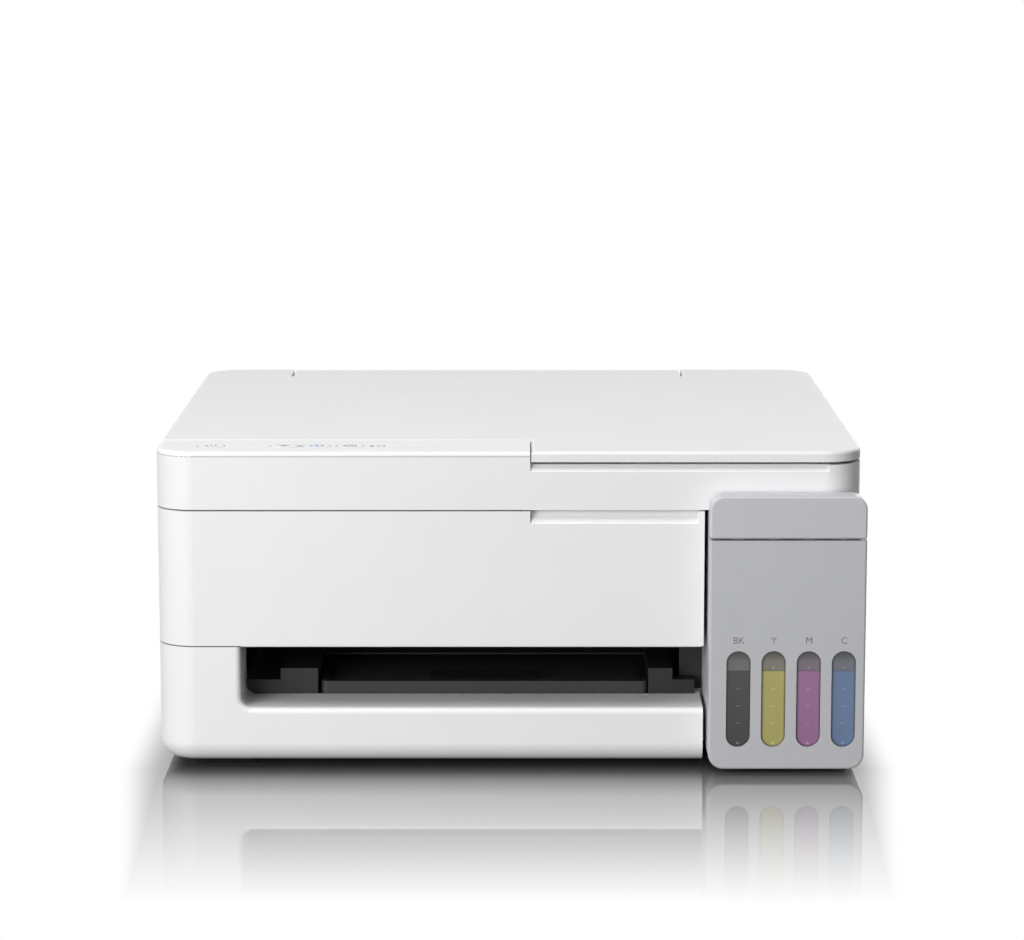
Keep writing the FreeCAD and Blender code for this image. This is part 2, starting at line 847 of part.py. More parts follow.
def build_tank_housing():
    """Grey housing of the ink tanks, open at the back, with a window for each tank."""
    piece = Piece("tank_housing")
    profile = Outline(
        (tank_front, d.foot_height),
        (tank_rear, d.foot_height),
        (tank_rear, d.case_top),
        (step_y, d.case_top),
        (step_y, d.tank_split),
        (tank_front, d.tank_split),
    )
    piece.pad("YZ", (tank_left, tank_right), profile)
    sides = any_of(where(x=tank_left, z=d.foot_height), where(x=tank_right, z=d.foot_height))
    piece.fillet(d.tank_round, sides)
    piece.fillet(d.tank_edge, apart_from(where(y=tank_front), where(z=d.tank_split)))
    inner_x = (tank_left + d.tank_wall, tank_right - d.tank_wall)
    back = tank_rear + OVERCUT
    piece.pocket("XZ", (tank_front + d.tank_wall, back), rectangle(inner_x, (cell_floor, cell_top)))
    attic = rectangle(inner_x, (cell_top - OVERCUT, d.case_top - d.tank_wall))
    piece.pocket("XZ", (step_y + d.tank_wall, back), attic)
    windows = [Pill(x, d.window_low, d.window_high, d.window_width) for x in cell_centres]
    piece.pocket("XZ", (tank_front - OVERCUT, tank_front + d.tank_wall + OVERCUT), *windows)
    necks = [Circle(x, neck_y, d.neck_radius + d.tank_clearance) for x in cell_centres]
    piece.pocket("XY", (cell_top - OVERCUT, d.tank_split + OVERCUT), *necks)
    for start in lug_starts:
        span = (start, start + lug_length)
        lug = rectangle((cover_axis_x - d.knuckle_radius, cover_axis_x + d.knuckle_radius),
                        (d.tank_split - OVERCUT, cover_axis_z))
        piece.pad("XZ", span, lug)
        piece.pad("XZ", span, Circle(cover_axis_x, cover_axis_z, d.knuckle_radius))
    pin_span = (lug_starts[0], lug_starts[1] + lug_length)
    piece.pad("XZ", pin_span, Circle(cover_axis_x, cover_axis_z, d.cover_pin))


def build_tank_cover():
    """Hood over the filler caps, hinged along the right side."""
    piece = Piece("tank_cover")

    def hood(inset, low):
        reach = d.cover_round - inset
        top = d.tank_top - inset
        return Outline(
            (tank_left + inset, low),
            (tank_right - inset, low),
            (tank_right - inset, top, reach),
            (tank_left + inset, top, reach),
        )

    piece.pad("XZ", (tank_front, cover_rear), hood(0, cover_low))
    piece.fillet(d.tank_edge, apart_from(where(y=tank_front), where(z=cover_low)))
    inside = (tank_front + d.tank_wall, cover_rear + OVERCUT)
    piece.pocket("XZ", inside, hood(d.tank_wall, cover_low - OVERCUT))
    knuckle = (lug_starts[0] + lug_length + d.slide_gap, lug_starts[1] - d.slide_gap)
    piece.pad("XZ", knuckle, Circle(cover_axis_x, cover_axis_z, d.knuckle_radius))
    reach = d.knuckle_radius + d.edge_round
    for start in lug_starts:
        notch = rectangle((cover_axis_x - reach, tank_right + OVERCUT),
                          (cover_low - OVERCUT, cover_axis_z + reach))
        piece.pocket("XZ", (start - d.slide_gap, start + lug_length + d.slide_gap), notch)
    bore = Circle(cover_axis_x, cover_axis_z, d.cover_pin + d.running_fit)
    piece.pocket("XZ", (knuckle[0] - OVERCUT, knuckle[1] + OVERCUT), bore)
    piece.chamfer(d.edge_round, where(x=tank_right, z=cover_low))


def build_ink_tanks():
    """Four tanks side by side, each with its window face, filler neck and cap, and the manifold behind."""
    tanks = []
    half = (cell_pitch - d.cell_gap) / 2
    face = tank_front + d.tank_wall + d.tank_clearance
    for name, x in zip(INK_NAMES, cell_centres):
        tank = Piece("ink_tank_" + name, is_node=False)
        tanks.append(tank.body)
        side = rectangle((face, manifold_front - d.tank_clearance), (cell_floor, cell_top - d.tank_clearance))
        tank.pad("YZ", (x - half, x + half), side)
        window = Pill(x, d.window_low + d.tank_clearance, d.window_high - d.tank_clearance,
                      d.window_width - 2 * d.tank_clearance)
        tank.pad("XZ", (tank_front + d.window_depth, face + OVERCUT), window)
        tank.pad("XY", (cell_top - OVERCUT, neck_top), Circle(x, neck_y, d.neck_radius))
        bore = Circle(x, neck_y, d.neck_bore)
        tank.pocket("XY", (neck_top - d.plug_length - OVERCUT, neck_top + OVERCUT), bore)
        head_span = (neck_top + d.slide_gap, neck_top + d.slide_gap + d.cap_height)
        head = rod("cap_head_" + name, "Z", head_span, (x, neck_y), d.cap_radius)
        plug_span = (neck_top - d.plug_length, head_span[0] + OVERCUT)
        plug = rod("cap_plug_" + name, "Z", plug_span, (x, neck_y), d.neck_bore - d.running_fit)
        keep(join("ink_cap_" + name, head, plug))
    side = (tank_left + d.tank_wall + d.tank_clearance, tank_right - d.tank_wall - d.tank_clearance)
    manifold = box("ink_manifold", side, (manifold_front, tank_rear), tube_window_z)
    group("ink_tanks", *tanks, manifold)


manifold_front = tank_rear - d.tank_round


def build_ink_lines():
    """Four tubes that loop from the tanks to the print carriage."""
    bend = d.corner_radius + d.lip_round
    run_y = engine_front - d.corner_radius
    loop_x = feeder_middle
    return_y = run_y + 3 * d.corner_radius
    tubes = []
    for number, level in enumerate(tube_levels, start=1):
        tube = Piece("ink_tube_%d" % number, is_node=False)
        route = Outline(
            (tube_x, tank_rear),
            (tube_x, run_y, bend),
            (loop_x, run_y, bend),
            (loop_x, return_y, bend),
            (damper_x[0], return_y),
            closed=False,
        )
        tube.pipe(d.tube_radius, level, route)
        tubes.append(tube.body)
    group("ink_tubes", *tubes)


damper_x = (carriage_left + d.lip_round + d.bottom_round / 2, carriage_right - d.bottom_round)


def build_hinge_posts():
    """Two posts inside the rear wall; their pins carry both the scanner and the lid."""
    posts = []
    half = d.post_width / 2
    foot_z = d.case_top - 3 * d.bottom_round
    neck_z = d.case_top + d.bottom_round
    for number, x in enumerate(hinge_places, start=1):
        side = (x - half, x + half)
        foot_y = (inner_rear - 2 * d.lip_round, inner_rear)
        foot = box("post_foot_%d" % number, side, foot_y, (foot_z, neck_z))
        neck_y_span = (hinge_y - d.hinge_round, hinge_y + d.hinge_round)
        neck = box("post_neck_%d" % number, side, neck_y_span, (neck_z - d.lip_round, hinge_z))
        head = rod("post_head_%d" % number, "X", side, (hinge_y, hinge_z), d.hinge_round)
        reach = half + 2 * (d.cheek_gap + d.cheek_width)
        pin = rod("post_pin_%d" % number, "X", (x - reach, x + reach), (hinge_y, hinge_z), d.hinge_pin)
        posts.append(join("hinge_post_%d" % number, foot, neck, head, pin))
    group("hinge_posts", *posts)


def add_cheeks(piece, start, levels):
    """Add a pair of bored hinge cheeks at each post, at a start distance from the post's middle."""
    profile = Pill(hinge_y, levels[0], levels[1], 2 * d.hinge_round)
    bore = Circle(hinge_y, hinge_z, d.hinge_pin + d.running_fit)
    for x in hinge_places:
        for span in ((x - start - d.cheek_width, x - start), (x + start, x + start + d.cheek_width)):
            piece.pad("YZ", span, profile)
            piece.pocket("YZ", (span[0] - OVERCUT / 4, span[1] + OVERCUT / 4), bore)


def build_scanner_tub():
    """Tub of the scanner, with the raised box under the control panel and the hinge cheeks."""
    piece = Piece("scanner_tub")
    piece.pad("XY", (tub_low, tub_top), tub_outline(0))
    piece.pocket("XY", (tub_low + d.wall, tub_top + OVERCUT), tub_outline(d.wall))
    piece.pad("XY", (tub_low, panel_low), panel_outline(0), panel_outline(d.wall))
    ledge_right = case_right - 0.75 * d.corner_radius
    ledge_y = (case_front + d.wall / 2, case_front + d.scoop_depth + d.wall)
    ledge = rectangle((panel_right - d.wall / 2, ledge_right), ledge_y)
    piece.pad("XY", (tub_top - d.scoop_height - d.lip_round, tub_top), ledge)
    slope = d.scoop_height / d.scoop_depth
    scoop = Outline(
        (case_front - OVERCUT, tub_top + OVERCUT),
        (case_front + d.scoop_depth, tub_top + OVERCUT),
        (case_front + d.scoop_depth, tub_top),
        (case_front - OVERCUT, tub_top - d.scoop_height - slope * OVERCUT),
    )
    piece.pocket("YZ", (panel_right, ledge_right - d.lip_round), scoop)
    ears = rectangle((case_left - OVERCUT, case_right + OVERCUT), (hinge_y - d.bottom_round, case_rear + OVERCUT))
    piece.pocket("XY", (ear_top, tub_top + OVERCUT), ears)
    start = d.post_width / 2 + d.cheek_gap
    for x in hinge_places:
        slot = rectangle((x - start, x + start), (inner_rear - 2 * d.lip_round - OVERCUT, case_rear + OVERCUT))
        piece.pocket("XY", (tub_low - OVERCUT, tub_top + OVERCUT), slot)
    add_cheeks(piece, start, (tub_low + d.strip_drop, hinge_z + d.hinge_round))
    bosses = [Circle(x, y, d.lip_round) for x, y in frame_bosses]
    piece.pad("XY", (tub_low + d.wall / 2, frame_low), *bosses)
    posts = [Circle(x, button_y, d.lip_round) for x in (button_places[0], button_places[-1])]
    piece.pad("XY", (tub_low + d.wall / 2, switch_board_low), *posts)


# Scanner bed under the lid
frame_top = tub_top - 0.7
frame_low = frame_top - d.frame_thick
glass_x = (inner_left + 2.5 * d.bottom_round, inner_left + 2.5 * d.bottom_round + d.glass_width)
glass_y = (panel_rear + d.tank_round, panel_rear + d.tank_round + d.glass_depth)
sensor_top = frame_low - 0.4
sensor_low = sensor_top - d.sensor_height
sensor_x = (glass_x[0] + d.bottom_round, glass_x[0] + d.bottom_round + d.sensor_width)
rail_y = (glass_y[0] + glass_y[1]) / 2 - d.bottom_round
rail_z = sensor_low + d.rail_radius
boss_x = (inner_left + d.bottom_round, inner_right - d.bottom_round)
frame_bosses = [(x, y) for x in boss_x for y in (glass_y[0] + d.bottom_round, glass_y[1] - d.bottom_round)]
frame_bosses += [(x, bay_front - d.bottom_round) for x in (feeder_left, feeder_middle, feeder_right)]
frame_bosses += [(panel_right + 2 * d.bottom_round, panel_rear - d.bottom_round)]

# Controls
button_y = (case_front + panel_rear) / 2
first_button = case_left + d.button_margin
button_places = [first_button] + [first_button + d.button_gap + d.button_pitch * number for number in range(3)]
switch_board_low = panel_low - 7.2
switch_board_top = switch_board_low + d.board_thick
light_x = (button_places[1] + button_places[2]) / 2


def build_scanner_bed():
    """Glass in its frame, the moving image sensor and its rail."""
    frame = Piece("glass_frame")
    gap = d.wall + d.slide_gap
    reach = d.corner_radius - gap
    back = inner_rear - 2.5 * d.lip_round
    front = case_front + d.scoop_depth + d.wall + d.slide_gap
    plan = Outline(
        (panel_right + d.slide_gap, front),
        (case_right - gap, front, reach),
        (case_right - gap, back, reach),
        (bay_right + gap, back),
        (bay_right + gap, bay_front - gap),
        (bay_left - gap, bay_front - gap),
        (bay_left - gap, back),
        (case_left + gap, back, reach),
        (case_left + gap, panel_rear + d.slide_gap),
        (panel_right + d.slide_gap, panel_rear + d.slide_gap),
    )
    frame.pad("XY", (frame_low, frame_top), plan)
    fit = d.running_fit * 4
    seat = rectangle((glass_x[0] - fit, glass_x[1] + fit), (glass_y[0] - fit, glass_y[1] + fit))
    frame.pocket("XY", (frame_top - d.glass_thick, frame_top + OVERCUT), seat)
    ledge = d.glass_ledge
    sight = rectangle((glass_x[0] + ledge, glass_x[1] - ledge), (glass_y[0] + ledge, glass_y[1] - ledge))
    frame.pocket("XY", (frame_low - OVERCUT, frame_top), sight)
    keep(box("scanner_glass", glass_x, glass_y, (frame_top - d.glass_thick, frame_top)))
    sensor = Piece("image_sensor")
    sensor_y = (glass_y[0] - OVERCUT, glass_y[1] - ledge + OVERCUT)
    sensor.pad("XY", (sensor_low, sensor_top), rectangle(sensor_x, sensor_y))
    middle = (sensor_x[0] + sensor_x[1]) / 2
    lens = rectangle((middle - d.lip_round, middle + d.lip_round), (glass_y[0] + ledge, glass_y[1] - 2 * ledge))
    sensor.pocket("XY", (sensor_top - d.edge_round, sensor_top + OVERCUT), lens)
    bore = Circle(rail_y, rail_z, d.rail_radius + d.running_fit)
    sensor.pocket("YZ", (sensor_x[0] - OVERCUT, sensor_x[1] + OVERCUT), bore)
    keep(rod("sensor_rail", "X", (inner_left, inner_right), (rail_y, rail_z), d.rail_radius))


def build_controls():
    """Control panel with its buttons, indicator light and the board under them."""
    panel = Piece("control_panel")
    panel.pad("XY", (panel_low, panel_top), panel_outline(0))
    outside = apart_from(where(z=panel_top), where(x=panel_right), where(y=panel_rear))
    panel.fillet(d.lid_round, outside)
    holes = [Circle(x, button_y, d.button_radius + d.button_clearance) for x in button_places]
    light = (light_x - d.edge_round, light_x + d.edge_round), (button_y - d.lip_round, button_y + d.lip_round)
    fit = d.running_fit * 2
    slot = rectangle((light[0][0] - fit, light[0][1] + fit), (light[1][0] - fit, light[1][1] + fit))
    panel.pocket("XY", (panel_low - OVERCUT, panel_top + OVERCUT), slot, *holes)
    board_x = (button_places[0] - d.bottom_round, button_places[-1] + d.bottom_round)
    board_y_span = (button_y - d.bottom_round, button_y + d.bottom_round)
    switch_top = panel_low - 4 * d.cheek_gap - d.slide_gap
    pieces = [box("switch_board", board_x, board_y_span, (switch_board_low, switch_board_top))]
    for name, x in zip(BUTTON_NAMES, button_places):
        button = Piece(name + "_button")
        flange = (panel_low - 1.6, panel_low - 0.4)
        button.pad("XY", (flange[0], d.overall_height), Circle(x, button_y, d.button_radius))
        button.pad("XY", flange, Circle(x, button_y, d.button_flange))
        button.fillet(d.edge_round, where(z=d.overall_height))
        side = d.lip_round
        switch = box("switch_" + name, (x - side, x + side), (button_y - side, button_y + side),
                     (switch_board_top, switch_top))
        pieces.append(switch)
    keep(join("panel_board", *pieces))
    keep(box("indicator_light", *light, (panel_low, panel_top)))


def build_lid():
    """Document lid, a shallow shell with hinge cheeks, and the soft pad under it."""
    lid = Piece("document_lid")
    lid.pad("XY", (lid_low, d.overall_height), lid_outline(0))
    lid.pocket("XY", (lid_low - OVERCUT, lid_under), lid_outline(d.wall))
    bow = where(y=(strip_front - 2 * d.strip_gap, strip_front + d.strip_bow))
    lid.fillet(d.lid_round, apart_from(where(z=d.overall_height), bow, where(x=bay_left), where(x=bay_right)))
    clear = d.post_width / 2 + 2 * (d.cheek_gap + d.cheek_width) + d.edge_round
    for x in hinge_places:
        skirt = rectangle((x - clear, x + clear), (inner_rear - OVERCUT, case_rear + OVERCUT))
        lid.pocket("XY", (lid_low - OVERCUT, lid_under), skirt)
    start = d.post_width / 2 + 2 * d.cheek_gap + d.cheek_width
    add_cheeks(lid, start, (hinge_z - d.hinge_round, d.overall_height - d.strip_drop))
    pad = Piece("lid_pad")
    inset = d.glass_ledge + OVERCUT
    plan = rectangle((glass_x[0] + inset, glass_x[1] - inset), (glass_y[0] + inset, glass_y[1] - inset), d.lip_round)
    pad.pad("XY", (frame_top + 0.4, lid_under), plan)


# Rear sheet feeder: its plates lean back at the feed angle
slope = sine(d.feed_angle) / cosine(d.feed_angle)
cap_top = d.overall_height - d.strip_drop
cap_low = cap_top - d.strip_thick
side_left = feeder_left + d.panel_gap
side_right = feeder_right - d.panel_gap
support_x = (feeder_left + d.support_margin, feeder_right - d.support_margin)
extension_x = (feeder_left + d.extension_margin, feeder_right - d.extension_margin)
backplate = d.support_thick + 0.5
pickup_y = case_rear - d.pickup_back
lip_front = -(d.slide_gap + 1.6)
extension_front = -(d.slide_gap + d.extension_thick)
guide_bar_z = (d.pickup_height + 4.5, d.pickup_height + 7.5)
pickup_x = (feeder_middle - d.pickup_width / 2, feeder_middle + d.pickup_width / 2)


def lean(height):
    """Y of the paper support's front face at a height."""
    return case_rear - d.tank_round + slope * (height - cap_low)


def slab(start, end, low, high):
    """Side view of a leaning plate, between two distances behind the support's front face."""
    return Outline(
        (lean(low) + start, low),
        (lean(low) + end, low),
        (lean(high) + end, high),
        (lean(high) + start, high),
    )


def build_feeder_frame():
    """Sides, back plate, floor and guides of the rear feeder."""
    piece = Piece("feeder_frame")
    shoulder = tub_low + 0.2
    cheek = Outline(
        (pickup_y - d.tank_round, floor_top),
        (inner_rear - d.bottom_round, floor_top),
        (inner_rear - d.slide_gap, floor_top + d.bottom_round),
        (inner_rear - d.slide_gap, shoulder),
        (case_rear, shoulder),
        (case_rear, cap_low - 0.5),
        (strip_front + d.strip_gap, cap_low - 0.5),
        (strip_front + d.strip_gap, d.case_top - d.strip_gap),
        (pickup_y + d.pickup_radius, d.pickup_height + 4 * d.pickup_radius),
        (pickup_y - d.tank_round, d.pickup_height + d.pickup_radius),
    )
    piece.pad("YZ", (side_left, side_left + d.feeder_side), cheek)
    piece.pad("YZ", (side_right - d.feeder_side, side_right), cheek)
    skirt = rectangle((case_rear - d.wall, case_rear), (shoulder, cap_low - 0.5))
    piece.pad("YZ", (side_left, side_right), skirt)
    floor_z = d.feed_height + 1
    piece.pad("YZ", (side_left, side_right), slab(backplate, backplate + 2, floor_z, cap_low - 2.8))
    floor = rectangle((d.feed_y + d.bottom_round, lean(floor_z) + backplate + OVERCUT), (floor_z, floor_z + d.wall))
    piece.pad("YZ", (side_left, side_right), floor)
    bar = rectangle((lean(guide_bar_z[0]) - 1.5 * d.bottom_round, lean(guide_bar_z[0]) + backplate + OVERCUT),
                    guide_bar_z)
    piece.pad("YZ", (side_left, pickup_x[0] - d.bottom_round), bar)
    piece.pad("YZ", (pickup_x[1] + d.bottom_round, side_right), bar)
    rail_z_span = (d.support_low + d.lip_round, cap_low - d.bottom_round)
    outer = d.lip_round - d.slide_gap
    for edge, way in ((support_x[0], -1), (support_x[1], 1)):
        wall = sorted((edge + way * d.slide_gap, edge + way * outer), key=lambda size: size.value)
        lip = sorted((edge - way * d.lip_round, edge + way * outer), key=lambda size: size.value)
        piece.pad("YZ", wall, slab(lip_front, backplate + OVERCUT, *rail_z_span))
        piece.pad("YZ", lip, slab(lip_front, as_size(-d.slide_gap), *rail_z_span))
    hole = Circle(pickup_y, d.pickup_height, d.pickup_shaft + d.running_fit)
    piece.pocket("YZ", (side_left - OVERCUT, side_right + OVERCUT), hole)


def build_feeder_parts():
    """Paper support with its extension, the edge guides and the pickup roller."""
    support = Piece("paper_support")
    support.pad("YZ", support_x, slab(as_size(0), d.support_thick, d.support_low, cap_low + OVERCUT))
    strip = Outline(
        (side_left, strip_front),
        (side_right, strip_front),
        (side_right, case_rear),
        (side_left, case_rear),
        bows={0: d.strip_bow},
    )
    support.pad("XY", (cap_low, cap_top), strip)
    bow = where(y=(strip_front - OVERCUT, strip_front + d.strip_bow + OVERCUT))
    support.fillet(d.edge_round, apart_from(where(z=cap_top), bow))
    opening = slab(extension_front - d.slide_gap, as_size(0), cap_low - OVERCUT, cap_top + OVERCUT)
    support.pocket("YZ", (extension_x[0] - d.slide_gap, extension_x[1] + d.slide_gap), opening)
    extension = Piece("support_extension")
    extension_side = slab(extension_front, as_size(-d.slide_gap), d.support_low + d.bottom_round, cap_top)
    extension.pad("YZ", extension_x, extension_side)
    guide_low = guide_bar_z[1] + d.slide_gap
    fence = slab(lip_front - 2 - d.guide_fence, lip_front - 2, guide_low, d.case_top - OVERCUT)
    foot = slab(lip_front - 2 - d.guide_fence, lip_front - 2, guide_low, guide_low + d.lip_round)
    for name, edge, way in (("left", feeder_left, 1), ("right", feeder_right, -1)):
        guide = Piece("edge_guide_" + name)
        start = edge + way * d.guide_margin
        span = sorted((start, start + way * d.lip_round), key=lambda size: size.value)
        base = sorted((start - way * 2 * d.lip_round, start + way * d.lip_round), key=lambda size: size.value)
        guide.pad("YZ", span, fence)
        guide.pad("YZ", base, foot)
    axis = (pickup_y, d.pickup_height)
    tyre = rod("pickup_tyre", "X", pickup_x, axis, d.pickup_radius)
    flat_y = (pickup_y - 2 * d.pickup_radius, pickup_y - d.pickup_radius + d.lip_round)
    flat = box("pickup_flat", (pickup_x[0] - OVERCUT, pickup_x[1] + OVERCUT), flat_y,
               (d.pickup_height - d.pickup_radius, d.pickup_height + d.pickup_radius))
    shaft = rod("pickup_axle", "X", (side_left, side_right), axis, d.pickup_shaft)
    keep(join("pickup_roller", carve("pickup_tread", tyre, flat), shaft))


# Paper exit: the tray slides between two stepped blocks
frame_left = exit_left + d.slide_gap
frame_right = notch_left - d.wall - d.slide_gap
frame_front = porch_rear + d.slide_gap
tray_x = (exit_left + 2 * d.block_step + d.slide_gap, frame_right - 25.3)
tray_low = d.exit_low + d.slide_gap
tray_top = tray_low + d.tray_height
tray_front = porch_rear + d.tray_bar + d.slide_gap
tray_back = tray_front + d.tray_length
tray_middle = (tray_x[0] + tray_x[1]) / 2
leaf_low = tray_low + d.tray_floor + d.slide_gap
leaf_top = leaf_low + 2.3
stopper_x = (tray_middle - d.stopper_width / 2, tray_middle + d.stopper_width / 2)
stopper_y = (tray_front + 2, tray_front + 2 + d.stopper_length)
stopper_axis = (stopper_y[0] + 1.5, leaf_top + d.slide_gap + 0.95)
stopper_pin = 0.6


def build_exit():
    """Dark frame inside the exit, with stepped side blocks and the paper ramp."""
    piece = Piece("exit_frame")
    back = engine_front - d.bottom_round / 2
    piece.pad("XY", (d.exit_low - d.wall, d.exit_low), rectangle((frame_left, frame_right), (frame_front, back)))
    left_end, right_end = tray_x[0] - 6 * d.slide_gap, tray_x[1] + d.slide_gap
    low = d.exit_low - d.edge_round
    left_block = Outline(
        (frame_left, low),
        (left_end, low),
        (left_end, d.block_high),
        (left_end - d.block_step, d.block_high),
        (left_end - d.block_step, d.block_low),
        (frame_left, d.block_low),
    )
    right_step = right_end + 0.65 * d.block_step
    right_block = Outline(
        (right_end, low),
        (frame_right, low),
        (frame_right, d.block_low),
        (right_step, d.block_low),
        (right_step, d.block_high),
        (right_end, d.block_high),
    )
    piece.pad("XZ", (frame_front, back - d.bottom_round), left_block)
    piece.pad("XZ", (frame_front, back - d.bottom_round), right_block)
    ramp = Outline(
        (back - 3 * d.bottom_round, tray_top + d.edge_round),
        (back, tray_top + 2 * d.edge_round),
        (back, d.block_high - d.slide_gap),
        (back - d.edge_round, d.block_high - d.slide_gap),
        (back - 3 * d.bottom_round, tray_top + 2 * d.edge_round),
    )
    piece.pad("YZ", (left_end - OVERCUT, right_end + OVERCUT), ramp)
    legs = []
    for x in (frame_left + d.wall, frame_right - d.wall - d.bottom_round):
        for y in (frame_front + d.bottom_round, back - 3 * d.bottom_round):
            legs.append(rectangle((x, x + d.bottom_round), (y, y + d.bottom_round)))
    piece.pad("XY", (floor_top, d.exit_low - d.wall / 2), *legs)


def build_tray():
    """Output tray, its extension and the stopper flap."""
    tray = Piece("output_tray")
    tray.pad("XY", (tray_low, tray_top), rectangle(tray_x, (tray_front, tray_back)))
    channel = rectangle((tray_x[0] + d.tray_rail, tray_x[1] - d.tray_rail),
                        (tray_front - OVERCUT, tray_back - d.lip_round))
    tray.pocket("XY", (tray_low + d.tray_floor, tray_top + OVERCUT), channel)
    leaf = Piece("tray_extension")
    leaf_x = (tray_x[0] + d.tray_rail + d.slide_gap, tray_x[1] - d.tray_rail - d.slide_gap)
    bar_y = (porch_rear, porch_rear + d.tray_bar)
    leaf.pad("XY", (leaf_low, leaf_top), rectangle(leaf_x, (bar_y[1] - OVERCUT, tray_back - 2 * d.lip_round)))
    leaf.pad("XY", (tray_low, tray_top), rectangle(tray_x, bar_y))
    leaf.fillet(d.lip_round, any_of(where(x=tray_x[0], y=bar_y[0]), where(x=tray_x[1], y=bar_y[0])))
    relief = rectangle((stopper_x[0] - d.slide_gap, stopper_x[1] + d.slide_gap),
                       (stopper_y[0] - 0.8, stopper_axis[0] + d.wall))
    leaf.pocket("XY", (leaf_low - OVERCUT, leaf_top + OVERCUT), relief)
    lug = rectangle((stopper_y[0], stopper_y[0] + d.lip_round), (leaf_top - d.edge_round, stopper_axis[1] + 0.95))
    fit = Circle(*stopper_axis, stopper_pin + d.running_fit)
    for edge, way in ((stopper_x[0], -1), (stopper_x[1], 1)):
        span = sorted((edge + way * d.slide_gap, edge + way * d.bottom_round / 2), key=lambda size: size.value)
        leaf.pad("YZ", span, lug)
    leaf.pocket("YZ", (stopper_x[0] - d.bottom_round, stopper_x[1] + d.bottom_round), fit)
    flap = Piece("tray_stopper")
    flap_z = (stopper_axis[1] - 0.95, stopper_axis[1] + 0.95)
    flap.pad("XY", flap_z, rectangle(stopper_x, stopper_y))
    reach = d.lip_round
    flap.pad("YZ", (stopper_x[0] - reach, stopper_x[1] + reach), Circle(*stopper_axis, stopper_pin))
    flap.fillet(d.edge_round, where(y=stopper_y[0]))


# Print engine
drive_x = engine_right - d.bottom_round
tension_x = engine_left + d.bottom_round + d.lip_round
stud_radius = d.eject_journal - 2 * d.running_fit
spindle = d.axle_radius + d.slide_gap
plate_low = d.feed_height + 3 * d.roller_radius
PRESSURE = math.radians(20)
ADDENDUM = 0.85
DEDENDUM = 1.15
BACKLASH = 0.2


def involute(angle):
    """Involute of an angle."""
    return math.tan(angle) - angle


def spur_gear(label, teeth, centre, phase):
    """Gear by formula, along X, with the middle of one tooth at a phase from +Y."""
    count, module = int(teeth.value), d.gear_module.value
    pitch = module * count / 2
    base = pitch * math.cos(PRESSURE)
    root, tip = pitch - DEDENDUM * module, pitch + ADDENDUM * module
    half = math.pi / (2 * count) - BACKLASH * module / (4 * pitch) + involute(PRESSURE)
    steps = [max(root, base) + (tip - max(root, base)) * step / 4 for step in range(5)]
    flank = [(root, half)] + [(size, half - involute(math.acos(min(1.0, base / size)))) for size in steps]
    points = []
    for number in range(count):
        middle = phase + 2 * math.pi * number / count
        tooth = [(size, middle - turn) for size, turn in flank]
        tooth += [(size, middle + turn) for size, turn in reversed(flank)]
        points += [FreeCAD.Vector(0, size * math.cos(turn), size * math.sin(turn)) for size, turn in tooth]
    return cut_blank(label, points, d.gear_width, (gear_left, *centre))


def star_wheel(label, x):
    """Thin paper wheel by formula, with pointed teeth."""
    count = 12
    points = []
    for number in range(2 * count):
        size = d.star_radius.value * (1 if number % 2 == 0 else 0.75)
        turn = math.pi * number / count
        points.append(FreeCAD.Vector(0, size * math.cos(turn), size * math.sin(turn)))
    return cut_blank(label, points, d.edge_round, (x, eject_y, star_z))


def cut_blank(label, points, width, corner):
    """Flat wheel from its outline, as thick as a width along X."""
    face = Part.Face(Part.makePolygon(points + points[:1]))
    wheel = doc.addObject("Part::Feature", label)
    wheel.Shape = face.extrude(FreeCAD.Vector(width.value, 0, 0))
    wheel.Placement = FreeCAD.Placement()
    place(wheel, *corner)
    return wheel


def build_main_frame():
    """Folded metal frame of the print engine, with the studs of the idler gear and the belt."""
    piece = Piece("main_frame")
    plate = rectangle((engine_front, d.engine_back), (floor_top, d.engine_top))
    left = (engine_left - d.sheet_metal, engine_left)
    right = (engine_right - d.sheet_metal, engine_right)
    piece.pad("YZ", left, plate)
    back = rectangle((engine_left - d.sheet_metal, engine_right), (plate_low, d.engine_top))
    piece.pad("XZ", (d.engine_back - d.sheet_metal, d.engine_back), back)
    piece.pad("YZ", right, plate)
    motor_hole = rectangle((engine_left, engine_left + d.motor_length + d.lip_round),
                           (plate_low - OVERCUT, pinion_z + d.motor_radius + d.lip_round))
    piece.pocket("XZ", (d.engine_back - d.sheet_metal - OVERCUT, d.engine_back + OVERCUT), motor_hole)
    fit = d.running_fit
    holes = (
        Circle(d.shaft_y, d.shaft_height, d.shaft_radius + fit),
        Circle(d.feed_y, d.feed_height, d.journal_radius + fit),
        Circle(eject_y, d.feed_height, d.eject_journal + fit),
    )
    piece.pocket("YZ", (left[0] - OVERCUT, right[1] + OVERCUT), *holes)
    piece.pocket("YZ", (left[0] - OVERCUT, left[1] + OVERCUT), Circle(pinion_y, pinion_z, d.tube_radius + d.slide_gap))
    piece.pad("YZ", (gear_left, engine_left - d.sheet_metal / 2), Circle(idler_y, d.feed_height, stud_radius))
    stud = (d.belt_y - d.belt_width, d.engine_back - d.sheet_metal / 2)
    piece.pad("XZ", stud, Circle(tension_x, d.belt_height, d.eject_journal))
    hole = Circle(drive_x, d.belt_height, spindle + d.slide_gap)
    piece.pocket("XZ", (d.engine_back - d.sheet_metal - OVERCUT, d.engine_back + OVERCUT), hole)
    keep(rod("guide_shaft", "X", (left[0], right[1]), (d.shaft_y, d.shaft_height), d.shaft_radius))


